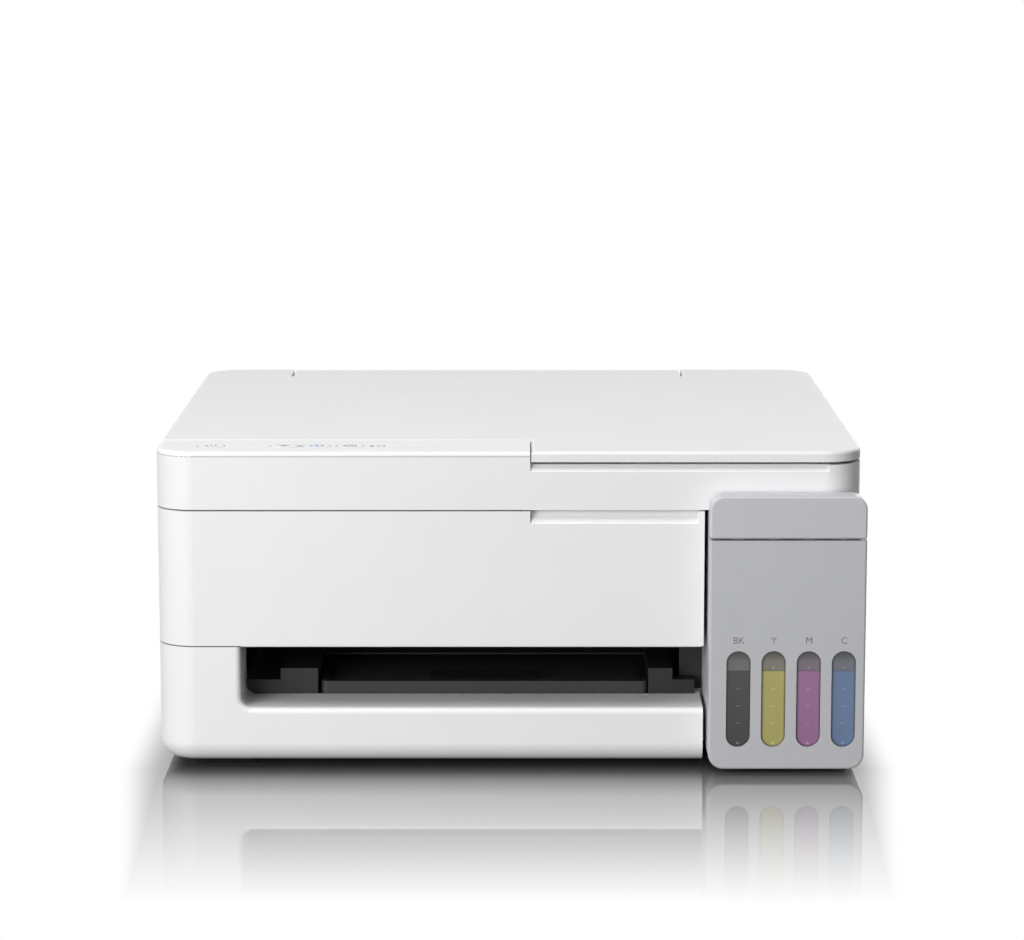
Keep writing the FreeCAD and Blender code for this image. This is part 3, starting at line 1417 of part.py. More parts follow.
def build_carriage():
    """Print carriage on its shaft, with the ink damper on top and the print head below."""
    carriage = Piece("print_carriage")
    slant = d.carriage_back - d.tank_round
    profile = Outline(
        (d.carriage_front, d.carriage_low),
        (slant, d.carriage_low),
        (d.carriage_back, d.carriage_low + d.bottom_round),
        (d.carriage_back, d.carriage_top),
        (d.carriage_front, d.carriage_top),
    )
    carriage.pad("YZ", (carriage_left, carriage_right), profile)
    carriage.fillet(d.lip_round, where(y=d.carriage_front))
    return_y = engine_front - d.corner_radius + 3 * d.corner_radius
    damper = rectangle(damper_x, (return_y - d.bottom_round, return_y + d.bottom_round))
    carriage.pad("XY", (d.carriage_top - OVERCUT, tube_levels[-1] + d.lip_round), damper)
    clamp_x = (carriage_left + d.corner_radius, carriage_right - d.corner_radius)
    run_z = d.belt_height - d.pulley_radius - d.belt_thick / 2
    clamp = rectangle((d.carriage_back - OVERCUT, d.belt_y + d.lip_round), (run_z - d.lip_round, d.carriage_top))
    carriage.pad("YZ", clamp_x, clamp)
    grip = d.belt_thick / 2 + d.slide_gap
    slot_y = (d.belt_y - d.belt_width / 2 - d.slide_gap, d.belt_y + d.lip_round + OVERCUT)
    carriage.pocket("YZ", clamp_x, rectangle(slot_y, (run_z - grip, run_z + grip)))
    bore = Circle(d.shaft_y, d.shaft_height, d.shaft_radius + d.running_fit)
    carriage.pocket("YZ", (carriage_left - OVERCUT, carriage_right + OVERCUT), bore)
    keep(box("print_head", head_x, head_y, (head_low, d.carriage_low)))


head_x = (carriage_left + d.bottom_round + d.wall, carriage_right - d.bottom_round - d.wall)
head_y = (d.carriage_front + d.tank_round, d.carriage_back - d.tank_round)


def build_belt_drive():
    """Timing belt, its pulleys and both motors."""
    level = d.belt_height
    span = (d.belt_y - d.belt_width / 2, d.belt_y + d.belt_width / 2)
    loops = []
    inner = d.pulley_radius + 2 * d.running_fit
    for name, size in (("outer", inner + d.belt_thick), ("inner", inner)):
        runs = box("belt_%s_runs" % name, (tension_x, drive_x), span, (level - size, level + size))
        ends = [rod("belt_%s_end_%d" % (name, number), "Y", span, (x, level), size)
                for number, x in enumerate((tension_x, drive_x), start=1)]
        loops.append(join("belt_" + name, runs, *ends))
    keep(carve("timing_belt", *loops))
    drum = (span[0] - d.slide_gap, span[1] + d.slide_gap)
    for name, x in (("drive", drive_x), ("tension", tension_x)):
        parts = [rod("pulley_drum_" + name, "Y", drum, (x, level), d.pulley_radius)]
        rims = ((drum[0] - d.edge_round, drum[0]), (drum[1], drum[1] + d.edge_round))
        for number, rim_span in enumerate(rims, start=1):
            flange = d.pulley_radius + d.belt_thick + d.edge_round
            parts.append(rod("pulley_rim_%s_%d" % (name, number), "Y", rim_span, (x, level), flange))
        if name == "drive":
            reach = (drum[0], d.engine_back + d.bottom_round)
            parts.append(rod("pulley_spindle", "Y", reach, (x, level), spindle))
            keep(join("drive_pulley", *parts))
        else:
            whole = (drum[0] - d.lip_round, drum[1] + d.lip_round)
            bore = rod("pulley_bore", "Y", whole, (x, level), d.eject_journal + d.running_fit)
            keep(carve("tension_pulley", join("tension_wheel", *parts), bore))
    can_span = (d.engine_back, d.engine_back + d.motor_length)
    can = rod("carriage_can", "Y", can_span, (drive_x, level), d.motor_radius)
    bore_span = (can_span[0] - OVERCUT, can_span[0] + d.bottom_round + OVERCUT)
    bore = rod("carriage_can_bore", "Y", bore_span, (drive_x, level), spindle + d.running_fit)
    feed_span = (engine_left, engine_left + d.motor_length)
    feed_can = rod("feed_can", "X", feed_span, (pinion_y, pinion_z), d.motor_radius)
    feed_bore = rod("feed_can_bore", "X", (engine_left - OVERCUT, engine_left + d.bottom_round + OVERCUT),
                    (pinion_y, pinion_z), spindle + d.running_fit)
    group("drive_motors", carve("carriage_motor", can, bore), carve("feed_motor", feed_can, feed_bore))


def spaced(low, high, count):
    """Evenly spaced coordinates from a low one to a high one."""
    return [low + (high - low) * number / (count - 1) for number in range(count)]


roller_x = (engine_left + d.bottom_round, paper_right - OVERCUT)
pinch_ends = (engine_left + d.motor_length + 2 * d.lip_round, paper_right - d.lip_round)


def build_rollers():
    """Feed and eject rollers with their gears, the idler gear and the motor pinion."""
    feed_axis = (d.feed_y, d.feed_height)
    eject_axis = (eject_y, d.feed_height)
    tooth = math.pi / d.feed_teeth.value
    feed_gear = spur_gear("feed_gear", d.feed_teeth, feed_axis, 0.0)
    feed_core = rod("feed_core", "X", roller_x, feed_axis, d.roller_radius)
    feed_journal = rod("feed_journal", "X", (gear_left, engine_right), feed_axis, d.journal_radius)
    keep(join("feed_roller", feed_gear, feed_core, feed_journal))
    eject_gear = spur_gear("eject_gear", d.feed_teeth, eject_axis, tooth)
    parts = [eject_gear, rod("eject_shaft", "X", (gear_left, engine_right), eject_axis, d.eject_journal)]
    for number, x in enumerate(spaced(roller_x[0] + d.bottom_round, roller_x[1] - d.bottom_round, 6), start=1):
        ring = (x - d.bottom_round / 2, x + d.bottom_round / 2)
        parts.append(rod("eject_ring_%d" % number, "X", ring, eject_axis, d.roller_radius))
    keep(join("eject_roller", *parts))
    idler = spur_gear("idler_blank", d.idler_teeth, (idler_y, d.feed_height), math.pi / d.idler_teeth.value)
    bore = rod("idler_bore", "X", (gear_left - OVERCUT, gear_right + OVERCUT), (idler_y, d.feed_height),
               stud_radius + d.running_fit)
    keep(carve("idler_gear", idler, bore))
    phase = math.radians(d.pinion_angle.value) + math.pi + math.pi / d.pinion_teeth.value
    pinion = spur_gear("pinion_teeth_blank", d.pinion_teeth, (pinion_y, pinion_z), phase)
    shaft = rod("pinion_shaft", "X", (gear_left, engine_left + d.bottom_round), (pinion_y, pinion_z), spindle)
    keep(join("motor_pinion", pinion, shaft))


def hanger(label, bar, centre, places):
    """Bar with bored arms that hold one axle."""
    y, z = centre
    half = d.axle_radius + d.edge_round
    arms = [box("%s_arm_%d" % (label, number), (x - d.edge_round, x + d.edge_round), (y - half, y + half),
                (z - half, bar.z_low)) for number, x in enumerate(places, start=1)]
    whole = join(label + "_solid", bar.shape, *arms)
    reach = (places[0] - d.lip_round, places[-1] + d.lip_round)
    return carve(label, whole, rod(label + "_bore", "X", reach, centre, d.axle_radius + d.running_fit))


class Bar:
    """Beam that hangs over a roller."""

    def __init__(self, label, x, y, z):
        self.shape = box(label, x, y, z)
        self.z_low = z[0] + OVERCUT


def build_small_rollers():
    """Pinch rollers over the feed roller and star wheels over the eject roller, in their holders."""
    pinch_places = spaced(pinch_ends[0] + d.lip_round, pinch_ends[1] - d.lip_round, 5)
    bar_z = (pinch_z + d.pinch_radius + d.edge_round, pinch_z + d.pinch_radius + d.edge_round + d.tank_round)
    pinch_bar = Bar("pinch_bar", pinch_ends, (d.feed_y - d.bottom_round / 2, d.engine_back - d.sheet_metal), bar_z)
    pinch_axis = (d.feed_y, pinch_z)
    holders = [hanger("pinch_holder", pinch_bar, pinch_axis, pinch_places)]
    reach = (pinch_places[0] - d.wall, pinch_places[-1] + d.wall)
    parts = [rod("pinch_axle", "X", reach, pinch_axis, d.axle_radius)]
    gap = d.edge_round + d.lip_round
    for number, (first, second) in enumerate(zip(pinch_places, pinch_places[1:]), start=1):
        parts.append(rod("pinch_tyre_%d" % number, "X", (first + gap, second - gap), pinch_axis, d.pinch_radius))
    keep(join("pinch_rollers", *parts))
    star_ends = (engine_left, engine_right - d.sheet_metal)
    star_places = spaced(roller_x[0], roller_x[1], 5)
    bar_z = (star_z + d.star_radius + d.edge_round, star_z + d.star_radius + d.edge_round + d.tank_round)
    half = d.tank_round - OVERCUT
    star_bar = Bar("star_bar", star_ends, (eject_y - half, eject_y + half), bar_z)
    star_axis = (eject_y, star_z)
    holders.append(hanger("star_holder", star_bar, star_axis, star_places))
    group("roller_holders", *holders)
    reach = (star_places[0] - d.wall, star_places[-1] + d.wall)
    parts = [rod("star_axle", "X", reach, star_axis, d.axle_radius)]
    for number, (first, second) in enumerate(zip(star_places, star_places[1:]), start=1):
        for side, place_x in enumerate(spaced(first + d.bottom_round, second - d.bottom_round, 3), start=1):
            parts.append(star_wheel("star_%d_%d" % (number, side), place_x))
    keep(join("star_wheels", *parts))


def build_platen():
    """Ribbed platen under the head, the capping station beside it and the waste ink pad."""
    platen = Piece("platen")
    platen_x = (engine_left, paper_right)
    platen_y = (eject_y + d.roller_radius + OVERCUT, d.feed_y - d.roller_radius - 2 * OVERCUT)
    rib_low = platen_top - d.sheet_metal
    platen.pad("XY", (platen_top - d.tank_round, rib_low), rectangle(platen_x, platen_y))
    ribs = [rectangle((x - d.edge_round, x + d.edge_round), platen_y)
            for x in spaced(roller_x[0], roller_x[1], 13)]
    platen.pad("XY", (rib_low - d.edge_round, platen_top), *ribs)
    cap_x = (paper_right, carriage_right + 2 * OVERCUT)
    cap_y = (d.carriage_front - d.lip_round, d.carriage_back - d.lip_round)
    cap_top_z = head_low - d.lip_round
    tower = box("cap_tower", cap_x, cap_y, (floor_top, cap_top_z))
    well = box("cap_well", (head_x[0], head_x[1]), (head_y[0], head_y[1]), (cap_top_z - d.lip_round, cap_top_z + OVERCUT))
    edge = 2 * OVERCUT
    outer = box("seal_outer", (head_x[0] - edge, head_x[1] + edge), (head_y[0] - edge, head_y[1] + edge),
                (cap_top_z, head_low - d.slide_gap))
    inner = box("seal_inner", (head_x[0], head_x[1]), (head_y[0], head_y[1]), (cap_top_z - OVERCUT, head_low))
    group("cap_station", carve("cap_base", tower, well), carve("cap_seal", outer, inner))
    pad_x = (side_left + d.feeder_side + d.lip_round, feeder_middle - d.bottom_round)
    pad_y = (pickup_y - d.pickup_radius - d.lip_round, inner_rear - d.bottom_round)
    keep(box("waste_ink_pad", pad_x, pad_y, (floor_top, floor_top + 2 * d.bottom_round)))
    strip_x = (engine_left, engine_right - d.sheet_metal)
    strip_y = d.belt_y + d.roller_radius
    strip_z = (d.shaft_height + d.lip_round, d.shaft_height + d.lip_round + d.tank_round)
    keep(box("encoder_strip", strip_x, (strip_y, strip_y + d.slide_gap), strip_z))


def build_electrics():
    """Main board with its data socket, and the power supply with its inlet."""
    parts = [box("board_sheet", (board_left, board_right), board_y, board_z)]
    low, high = board_z[0] + d.bottom_round, board_z[1] - d.bottom_round
    for number, y in enumerate(spaced(board_y[0] + d.corner_radius, board_y[1] - 2 * d.corner_radius, 4), start=1):
        chip_y = (y - d.tank_round, y + d.tank_round)
        chip_x = (board_right, board_right + d.lip_round)
        parts.append(box("board_chip_%d" % number, chip_x, chip_y, (low, high)))
    board = join("board", *parts)
    shell_x = (board_right, usb_x[1] - d.slide_gap)
    shell_z = (usb_z[0] + d.slide_gap, usb_z[1] - d.slide_gap)
    shell = box("socket_shell", shell_x, (board_y[1] - d.bottom_round, case_rear - OVERCUT), shell_z)
    edge = d.sheet_metal
    hole = box("socket_hole", (shell_x[0] + edge, shell_x[1] - edge), (board_y[1], case_rear),
               (shell_z[0] + edge, shell_z[1] - edge))
    group("main_board", board, carve("data_socket", shell, hole))
    supply_y = (supply_back - d.supply_depth, supply_back)
    case = box("supply_case", supply_x, supply_y, (floor_top, floor_top + d.supply_height))
    top = floor_top + d.supply_height
    vents = [box("supply_vent_%d" % number, (x - OVERCUT, x + OVERCUT),
                 (supply_y[0] + d.bottom_round, supply_y[1] - d.bottom_round), (top - d.edge_round, top + OVERCUT))
             for number, x in enumerate(spaced(supply_x[0] + d.bottom_round, supply_x[1] - d.bottom_round, 6), start=1)]
    edge = 2 * d.edge_round
    mouth_x = (inlet_x[0] + d.slide_gap, inlet_x[1] - d.slide_gap)
    mouth_z = (inlet_z[0] + d.slide_gap, inlet_z[1] - d.slide_gap)
    shell = box("inlet_shell", mouth_x, (supply_back, case_rear - OVERCUT), mouth_z)
    hole = box("inlet_hole", (mouth_x[0] + edge, mouth_x[1] - edge), (supply_back + edge, case_rear),
               (mouth_z[0] + edge, mouth_z[1] - edge))
    pins = [rod("inlet_pin_%d" % number, "Y", (supply_back + d.edge_round, case_rear - d.lip_round),
                (inlet_middle + offset, (mouth_z[0] + mouth_z[1]) / 2), d.axle_radius)
            for number, offset in enumerate((-d.tube_pitch, d.tube_pitch), start=1)]
    inlet = join("power_inlet", carve("inlet_mouth", shell, hole), *pins)
    group("power_supply", carve("supply_box", case, *vents), inlet)


build_base_case()
build_upper_case()
build_feet()
build_tank_housing()
build_tank_cover()
build_ink_tanks()
build_ink_lines()
build_hinge_posts()
build_scanner_tub()
build_scanner_bed()
build_controls()
build_lid()
build_feeder_frame()
build_feeder_parts()
build_exit()
build_tray()
build_main_frame()
build_carriage()
build_belt_drive()
build_rollers()
build_small_rollers()
build_platen()
build_electrics()

doc.recompute()
failed = [thing.Name for thing in doc.Objects if {"Invalid", "Error"} & set(thing.State)]
failed += [node.Label for node in nodes if node.Shape.isNull() or not node.Shape.isValid()]
if failed:
    raise RuntimeError("not built: " + ", ".join(failed))
os.makedirs("parts", exist_ok=True)
for node in nodes:
    node.Shape.exportStep("parts/%s.step" % node.Label)
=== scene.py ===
"""Looks of a white inkjet printer with front ink tanks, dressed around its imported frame.

Lengths are in metres. +X is the printer's right, +Y its back and +Z up.
"""

import logging
import math
from dataclasses import dataclass, field
from enum import Enum
from typing import Optional, Union

import bmesh
import bpy
from mathutils import Matrix, Vector


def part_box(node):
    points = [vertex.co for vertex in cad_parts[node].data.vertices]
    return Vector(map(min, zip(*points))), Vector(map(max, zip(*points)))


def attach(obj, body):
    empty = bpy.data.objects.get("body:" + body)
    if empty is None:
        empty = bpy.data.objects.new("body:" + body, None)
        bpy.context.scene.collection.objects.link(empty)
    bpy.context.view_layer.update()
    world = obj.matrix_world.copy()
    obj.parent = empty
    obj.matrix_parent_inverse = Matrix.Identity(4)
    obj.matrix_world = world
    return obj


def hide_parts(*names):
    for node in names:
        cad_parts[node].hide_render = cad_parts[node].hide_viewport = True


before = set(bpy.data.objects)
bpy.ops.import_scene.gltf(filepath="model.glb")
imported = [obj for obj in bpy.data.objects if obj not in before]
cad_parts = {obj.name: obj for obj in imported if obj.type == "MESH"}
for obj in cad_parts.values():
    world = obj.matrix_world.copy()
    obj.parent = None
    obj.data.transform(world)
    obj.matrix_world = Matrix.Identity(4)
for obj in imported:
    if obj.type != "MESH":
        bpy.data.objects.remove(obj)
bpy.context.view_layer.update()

MM = 0.001
NOISE_ROUGHNESS = 0.55
PRINT_DEPTH = 0.03 * MM
FACE_PROUD = 0.012 * MM
LEVEL_PROUD = 0.008 * MM
CASE_CORNER = 20 * MM
FULL_TURN = 360.0
LOG = logging.getLogger("printer")

Colour = tuple[float, float, float]
Number = Union[float, "Signal"]


class Body(Enum):
    """The moving bodies that new pieces ride on."""

    BASE = "base"
    LID = "lid"
    SCANNER = "scanner"
    POWER = "power_key"
    WIRELESS = "wireless_key"
    STATUS = "status_key"
    STOP = "stop_key"
    SUPPORT = "support"


class Slot(Enum):
    """The record's material slots, by name."""

    DARK = "dark_plastic"
    GREY = "grey_plastic"
    BLACK = "black_plastic"
    FOAM = "pad_foam"


def srgb(red: int, green: int, blue: int) -> Colour:
    """Turn a colour as it is seen on a screen into linear light.

    Args:
        red, green, blue: levels from 0 to 255.

    Returns:
        The linear colour.
    """
    def linear(level: int) -> float:
        """Undo the screen's gamma for one channel."""
        share = level / 255
        return share / 12.92 if share <= 0.04045 else ((share + 0.055) / 1.055) ** 2.4

    return linear(red), linear(green), linear(blue)


class Signal:
    """One shader value with arithmetic: an expression on signals adds its Math nodes."""

    def __init__(self, graph: "Graph", socket: bpy.types.NodeSocket) -> None:
        """Keep the graph and the output socket that carries the value."""
        self.graph = graph
        self.socket = socket

    def _math(self, operation: str, *values: Number) -> "Signal":
        """Add one Math node over the given values and return its result."""
        inputs = dict(enumerate(values))
        return self.graph.node("ShaderNodeMath", {"operation": operation}, inputs).out()

    def __add__(self, other: Number) -> "Signal":
        """Sum of two values."""
        return self._math("ADD", self, other)

    __radd__ = __add__

    def __sub__(self, other: Number) -> "Signal":
        """Difference of two values."""
        return self._math("SUBTRACT", self, other)

    def __rsub__(self, other: Number) -> "Signal":
        """A number less this value."""
        return self._math("SUBTRACT", other, self)

    def __mul__(self, other: Number) -> "Signal":
        """Product of two values."""
        return self._math("MULTIPLY", self, other)

    def __truediv__(self, other: Number) -> "Signal":
        """Quotient of two values."""
        return self._math("DIVIDE", self, other)

    def absolute(self) -> "Signal":
        """Size of the value without its sign."""
        return self._math("ABSOLUTE", self)

    def root(self) -> "Signal":
        """Square root of the value."""
        return self._math("SQRT", self)

    def ping_pong(self, scale: float) -> "Signal":
        """A saw-tooth of the value that rises and falls over the scale."""
        return self._math("PINGPONG", self, scale)

    def larger(self, other: Number) -> "Signal":
        """The larger of two values."""
        return self._math("MAXIMUM", self, other)

    def smaller(self, other: Number) -> "Signal":
        """The smaller of two values."""
        return self._math("MINIMUM", self, other)

    def rise(self, low: float, high: float) -> "Signal":
        """A smooth step from 0 at low to 1 at high; high may lie under low."""
        settings = {"interpolation_type": "SMOOTHSTEP"}
        inputs = {"Value": self, "From Min": low, "From Max": high}
        return self.graph.node("ShaderNodeMapRange", settings, inputs).out()


class Made:
    """A node that the graph has made, with its outputs as signals."""

    def __init__(self, graph: "Graph", node: bpy.types.Node) -> None:
        """Keep the graph and the node."""
        self.graph = graph
        self.node = node

    def out(self, name: Union[str, int] = 0) -> Signal:
        """One output of the node, by its name or its place."""
        return Signal(self.graph, self.node.outputs[name])


class Graph:
    """The node tree of one material or of the world."""

    def __init__(self, tree: bpy.types.NodeTree) -> None:
        """Start from an empty tree."""
        self.tree = tree
        tree.nodes.clear()

    def node(self, kind: str, settings: Optional[dict] = None, inputs: Optional[dict] = None) -> Made:
        """Add a node of any kind.

        Args:
            kind: the node's type.
            settings: its properties, set first.
            inputs: values or signals for its sockets, by name or by place.

        Returns:
            The node, whose outputs are signals.
        """
        node = self.tree.nodes.new(kind)
        for name, value in (settings or {}).items():
            setattr(node, name, value)
        for name, value in (inputs or {}).items():
            socket = node.inputs[name]
            if isinstance(value, Signal):
                self.tree.links.new(value.socket, socket)
            elif isinstance(value, tuple) and socket.type == "RGBA":
                socket.default_value = (*value, 1.0)
            else:
                socket.default_value = value
        return Made(self, node)

    def place(self, scale: tuple[float, float, float] = (1.0, 1.0, 1.0)) -> Signal:
        """Object coordinates, scaled along each axis."""
        place = self.node("ShaderNodeTexCoord").out("Object")
        if scale == (1.0, 1.0, 1.0):
            return place
        settings = {"operation": "MULTIPLY"}
        return self.node("ShaderNodeVectorMath", settings, {0: place, 1: scale}).out()

    def axes(self) -> tuple[Signal, Signal, Signal]:
        """The three object coordinates as single values."""
        split = self.node("ShaderNodeSeparateXYZ", None, {0: self.place()})
        return split.out("X"), split.out("Y"), split.out("Z")

    def noise(self, size: float, detail: float = 2.0, where: Optional[Signal] = None) -> Signal:
        """Smooth noise whose lumps are about one size across, from 0 to 1."""
        inputs = {"Vector": where or self.place(), "Scale": 1.0 / size, "Detail": detail,
                  "Roughness": NOISE_ROUGHNESS}
        return self.node("ShaderNodeTexNoise", None, inputs).out("Fac")

    def cells(self, size: float) -> Signal:
        """Distance to the nearest point of a field of cells about one size across."""
        inputs = {"Vector": self.place(), "Scale": 1.0 / size}
        return self.node("ShaderNodeTexVoronoi", None, inputs).out("Distance")

    def mix(self, factor: Number, first: Union[Colour, Signal], second: Union[Colour, Signal]) -> Signal:
        """Blend two colours by a factor."""
        mixed = self.node("ShaderNodeMix", {"data_type": "RGBA"}, {0: factor, 6: first, 7: second})
        return mixed.out(2)

    def bump(self, height: Signal, depth: float) -> Signal:
        """A normal bent by a height from 0 to 1 that stands for the given depth."""
        return self.node("ShaderNodeBump", None, {"Height": height, "Distance": depth, "Strength": 1.0}).out()

    def seen(self) -> Signal:
        """1 for rays from the camera, a mirror or glass, and 0 for rays that carry light."""
        path = self.node("ShaderNodeLightPath")
        direct = path.out("Is Camera Ray").larger(path.out("Is Glossy Ray"))
        return direct.larger(path.out("Is Transmission Ray"))

    def surface(self, shader: Made) -> None:
        """Send a shader to the material's output."""
        self.node("ShaderNodeOutputMaterial", None, {"Surface": shader.out()})

    def principled(self, inputs: dict) -> None:
        """Add the main shader and send it to the output."""
        self.surface(self.node("ShaderNodeBsdfPrincipled", None, inputs))


_MATERIALS: dict[str, bpy.types.Material] = {}


@dataclass(frozen=True)
class Finish:
    """A surface finish, which becomes one material however many pieces wear it."""

    name: str

    def material(self) -> bpy.types.Material:
        """The finish's material, made on first use."""
        if self.name not in _MATERIALS:
            material = bpy.data.materials.new(self.name)
            material.use_nodes = True
            self.paint(Graph(material.node_tree))
            _MATERIALS[self.name] = material
        return _MATERIALS[self.name]

    def paint(self, graph: Graph) -> None:
        """Build the finish's nodes; each kind of finish has its own."""
        raise NotImplementedError


@dataclass(frozen=True)
class MouldedPlastic(Finish):
    """Injection-moulded plastic with a spark-eroded grain, flow marks and handling sheen."""

    colour: Colour
    shade: Colour
    roughness: float = 0.42
    grain: float = 0.35 * MM
    depth: float = 0.012 * MM
    flow: float = 38 * MM
    coat: float = 0.0
    coat_roughness: float = 0.25
    specular: float = 0.45
    flow_share: float = 0.7
    tone_range: tuple[float, float] = (0.3, 0.72)
    sheen_spread: float = 0.05
    grain_spread: float = 0.04
    grain_mean: float = 0.4

    def paint(self, graph: Graph) -> None:
        """Mix two near tones by slow flow marks and add the fine grain as bump."""
        flow = graph.noise(self.flow, 3.0)
        speck = graph.noise(self.grain * 3)
        tone = (flow * self.flow_share + speck * (1 - self.flow_share)).rise(*self.tone_range)
        grain = graph.cells(self.grain)
        sheen = (graph.noise(self.flow * 0.45, 4.0) - 0.5) * self.sheen_spread
        graph.principled({
            "Base Color": graph.mix(tone, self.colour, self.shade),
            "Roughness": self.roughness + sheen + (grain - self.grain_mean) * self.grain_spread,
            "Normal": graph.bump(grain, self.depth),
            "Coat Weight": self.coat,
            "Coat Roughness": self.coat_roughness,
            "Specular IOR Level": self.specular,
        })


@dataclass(frozen=True)
class InkTankPlastic(Finish):
    """Clear tank plastic with four inks behind it, filled to one level, and an empty part above it."""

    inks: tuple[Colour, ...]
    centres: tuple[float, ...]
    level: float
    low: float
    top: float
    half: float
    front: float
    ink_edge: float = 0.1 * MM
    murk: Colour = srgb(30, 30, 34)
    murk_share: float = 0.08
    murk_size: float = 16 * MM
    air: Colour = srgb(108, 107, 109)
    air_tint: float = 0.16
    shadow: Colour = srgb(44, 44, 46)
    shadow_reach: float = 7 * MM
    shadow_share: float = 0.85
    level_edge: float = 0.15 * MM
    line: Colour = srgb(40, 40, 42)
    line_half: float = 0.55 * MM
    line_share: float = 0.35
    # painted shade round each window's edge, where the recess shades the tank, partly the ink's depth at the
    # curved walls
    rim_shade: Colour = srgb(26, 26, 28)
    rim_shade_width: float = 1.5 * MM
    rim_shade_edge: float = 0.1 * MM
    rim_shade_share: float = 0.62
    wall: Colour = srgb(206, 206, 208)
    wall_depths: tuple[float, float] = (1.0 * MM, 2.0 * MM)
    wall_share: float = 0.5
    ripple: float = 9 * MM
    ripple_depth: float = 0.01 * MM

    def paint(self, graph: Graph) -> None:
        """Choose the ink by its place across the tanks, stop it at the level, paint shadow over the top of
        the empty part and paint shade round the rounded edges.
        """
        across, deep, height = graph.axes()
        pitch = self.centres[1] - self.centres[0]
        ink: Union[Colour, Signal] = self.inks[0]
        for centre, colour in zip(self.centres, self.inks[1:]):
            edge = centre + pitch / 2
            ink = graph.mix(across.rise(edge - self.ink_edge, edge + self.ink_edge), ink, colour)
        murk = graph.noise(self.murk_size, 1.0, graph.place((1.0, 1.0, 0.3))).rise(0.25, 0.8)
        ink = graph.mix(murk * self.murk_share, ink, self.murk)
        shadow = height.rise(self.top - self.shadow_reach, self.top)
        air = graph.mix(shadow * self.shadow_share, graph.mix(self.air_tint, self.air, ink), self.shadow)
        filled = height.rise(self.level + self.level_edge, self.level - self.level_edge)
        line = (height - self.level).absolute().rise(self.line_half, self.level_edge)
        face = graph.mix(line * self.line_share, graph.mix(filled, air, ink), self.line)
        # painted shade round each window's edge: the recess's shade, and in part the deeper ink at the tank's
        # curved walls
        straight = (self.top - self.low) / 2 - self.half
        aside = (across - self.centres[0]).ping_pong(pitch / 2)
        past = ((height - (self.low + self.top) / 2).absolute() - straight).larger(0.0)
        reach = (aside * aside + past * past).root()
        rim_shade = reach.rise(self.half - self.rim_shade_width, self.half - self.rim_shade_edge)
        face = graph.mix(rim_shade * self.rim_shade_share, face, self.rim_shade)
        wall = deep.rise(self.front + self.wall_depths[0], self.front + self.wall_depths[1])
        graph.principled({
            "Base Color": graph.mix(wall * self.wall_share, face, self.wall),
            "Roughness": 0.2 + graph.noise(6 * MM) * 0.06,
            "Normal": graph.bump(graph.noise(self.ripple, 1.0), self.ripple_depth),
            "Coat Weight": 0.4,
            "Coat Roughness": 0.12,
        })


@dataclass(frozen=True)
class DrawnSteel(Finish):
    """Bright metal with fine lines drawn along the X axis."""

    colour: Colour
    roughness: float = 0.28
    stretch: float = 60.0
    dull: Colour = srgb(96, 96, 98)
    line_width: float = 0.4 * MM
    line_depth: float = 0.01 * MM
    stain_size: float = 22 * MM

    def paint(self, graph: Graph) -> None:
        """Stretch a noise along X for the lines, and let slow stains change its polish."""
        lines = graph.noise(self.line_width, 3.0, graph.place((1.0 / self.stretch, 1.0, 1.0)))
        stain = graph.noise(self.stain_size, 4.0)
        graph.principled({
            "Base Color": graph.mix(stain.rise(0.45, 0.85) * 0.35, self.colour, self.dull),
            "Metallic": 1.0,
            "Roughness": self.roughness + (lines - 0.5) * 0.2 + (stain - 0.5) * 0.15,
            "Normal": graph.bump(lines, self.line_depth),
        })


@dataclass(frozen=True)
class Rubber(Finish):
    """Matt rubber with a dusty bloom."""

    colour: Colour
    bloom: Colour
    dust_size: float = 4 * MM
    pore_size: float = 0.5 * MM
    pore_depth: float = 0.03 * MM

    def paint(self, graph: Graph) -> None:
        """Dust the colour by noise and roughen it with fine pores."""
        dust = graph.noise(self.dust_size, 5.0)
        pores = graph.cells(self.pore_size)
        graph.principled({
            "Base Color": graph.mix(dust.rise(0.4, 0.8) * 0.5, self.colour, self.bloom),
            "Roughness": 0.78 + (dust - 0.5) * 0.2,
            "Normal": graph.bump(pores, self.pore_depth),
        })


@dataclass(frozen=True)
class ClearSheet(Finish):
    """Clear glass or film with faint smears."""

    tint: Colour
    roughness: float = 0.03
    smear: Colour = srgb(235, 240, 238)
    smear_size: float = 30 * MM
    index: float = 1.5

    def paint(self, graph: Graph) -> None:
        """Pass light through, with smears in the polish."""
        smear = graph.noise(self.smear_size, 5.0, graph.place((1.0, 0.3, 1.0)))
        graph.principled({
            "Base Color": graph.mix(smear * 0.2, self.tint, self.smear),
            "Roughness": self.roughness + smear.rise(0.55, 0.8) * 0.06,
            "Transmission Weight": 1.0,
            "IOR": self.index,
        })


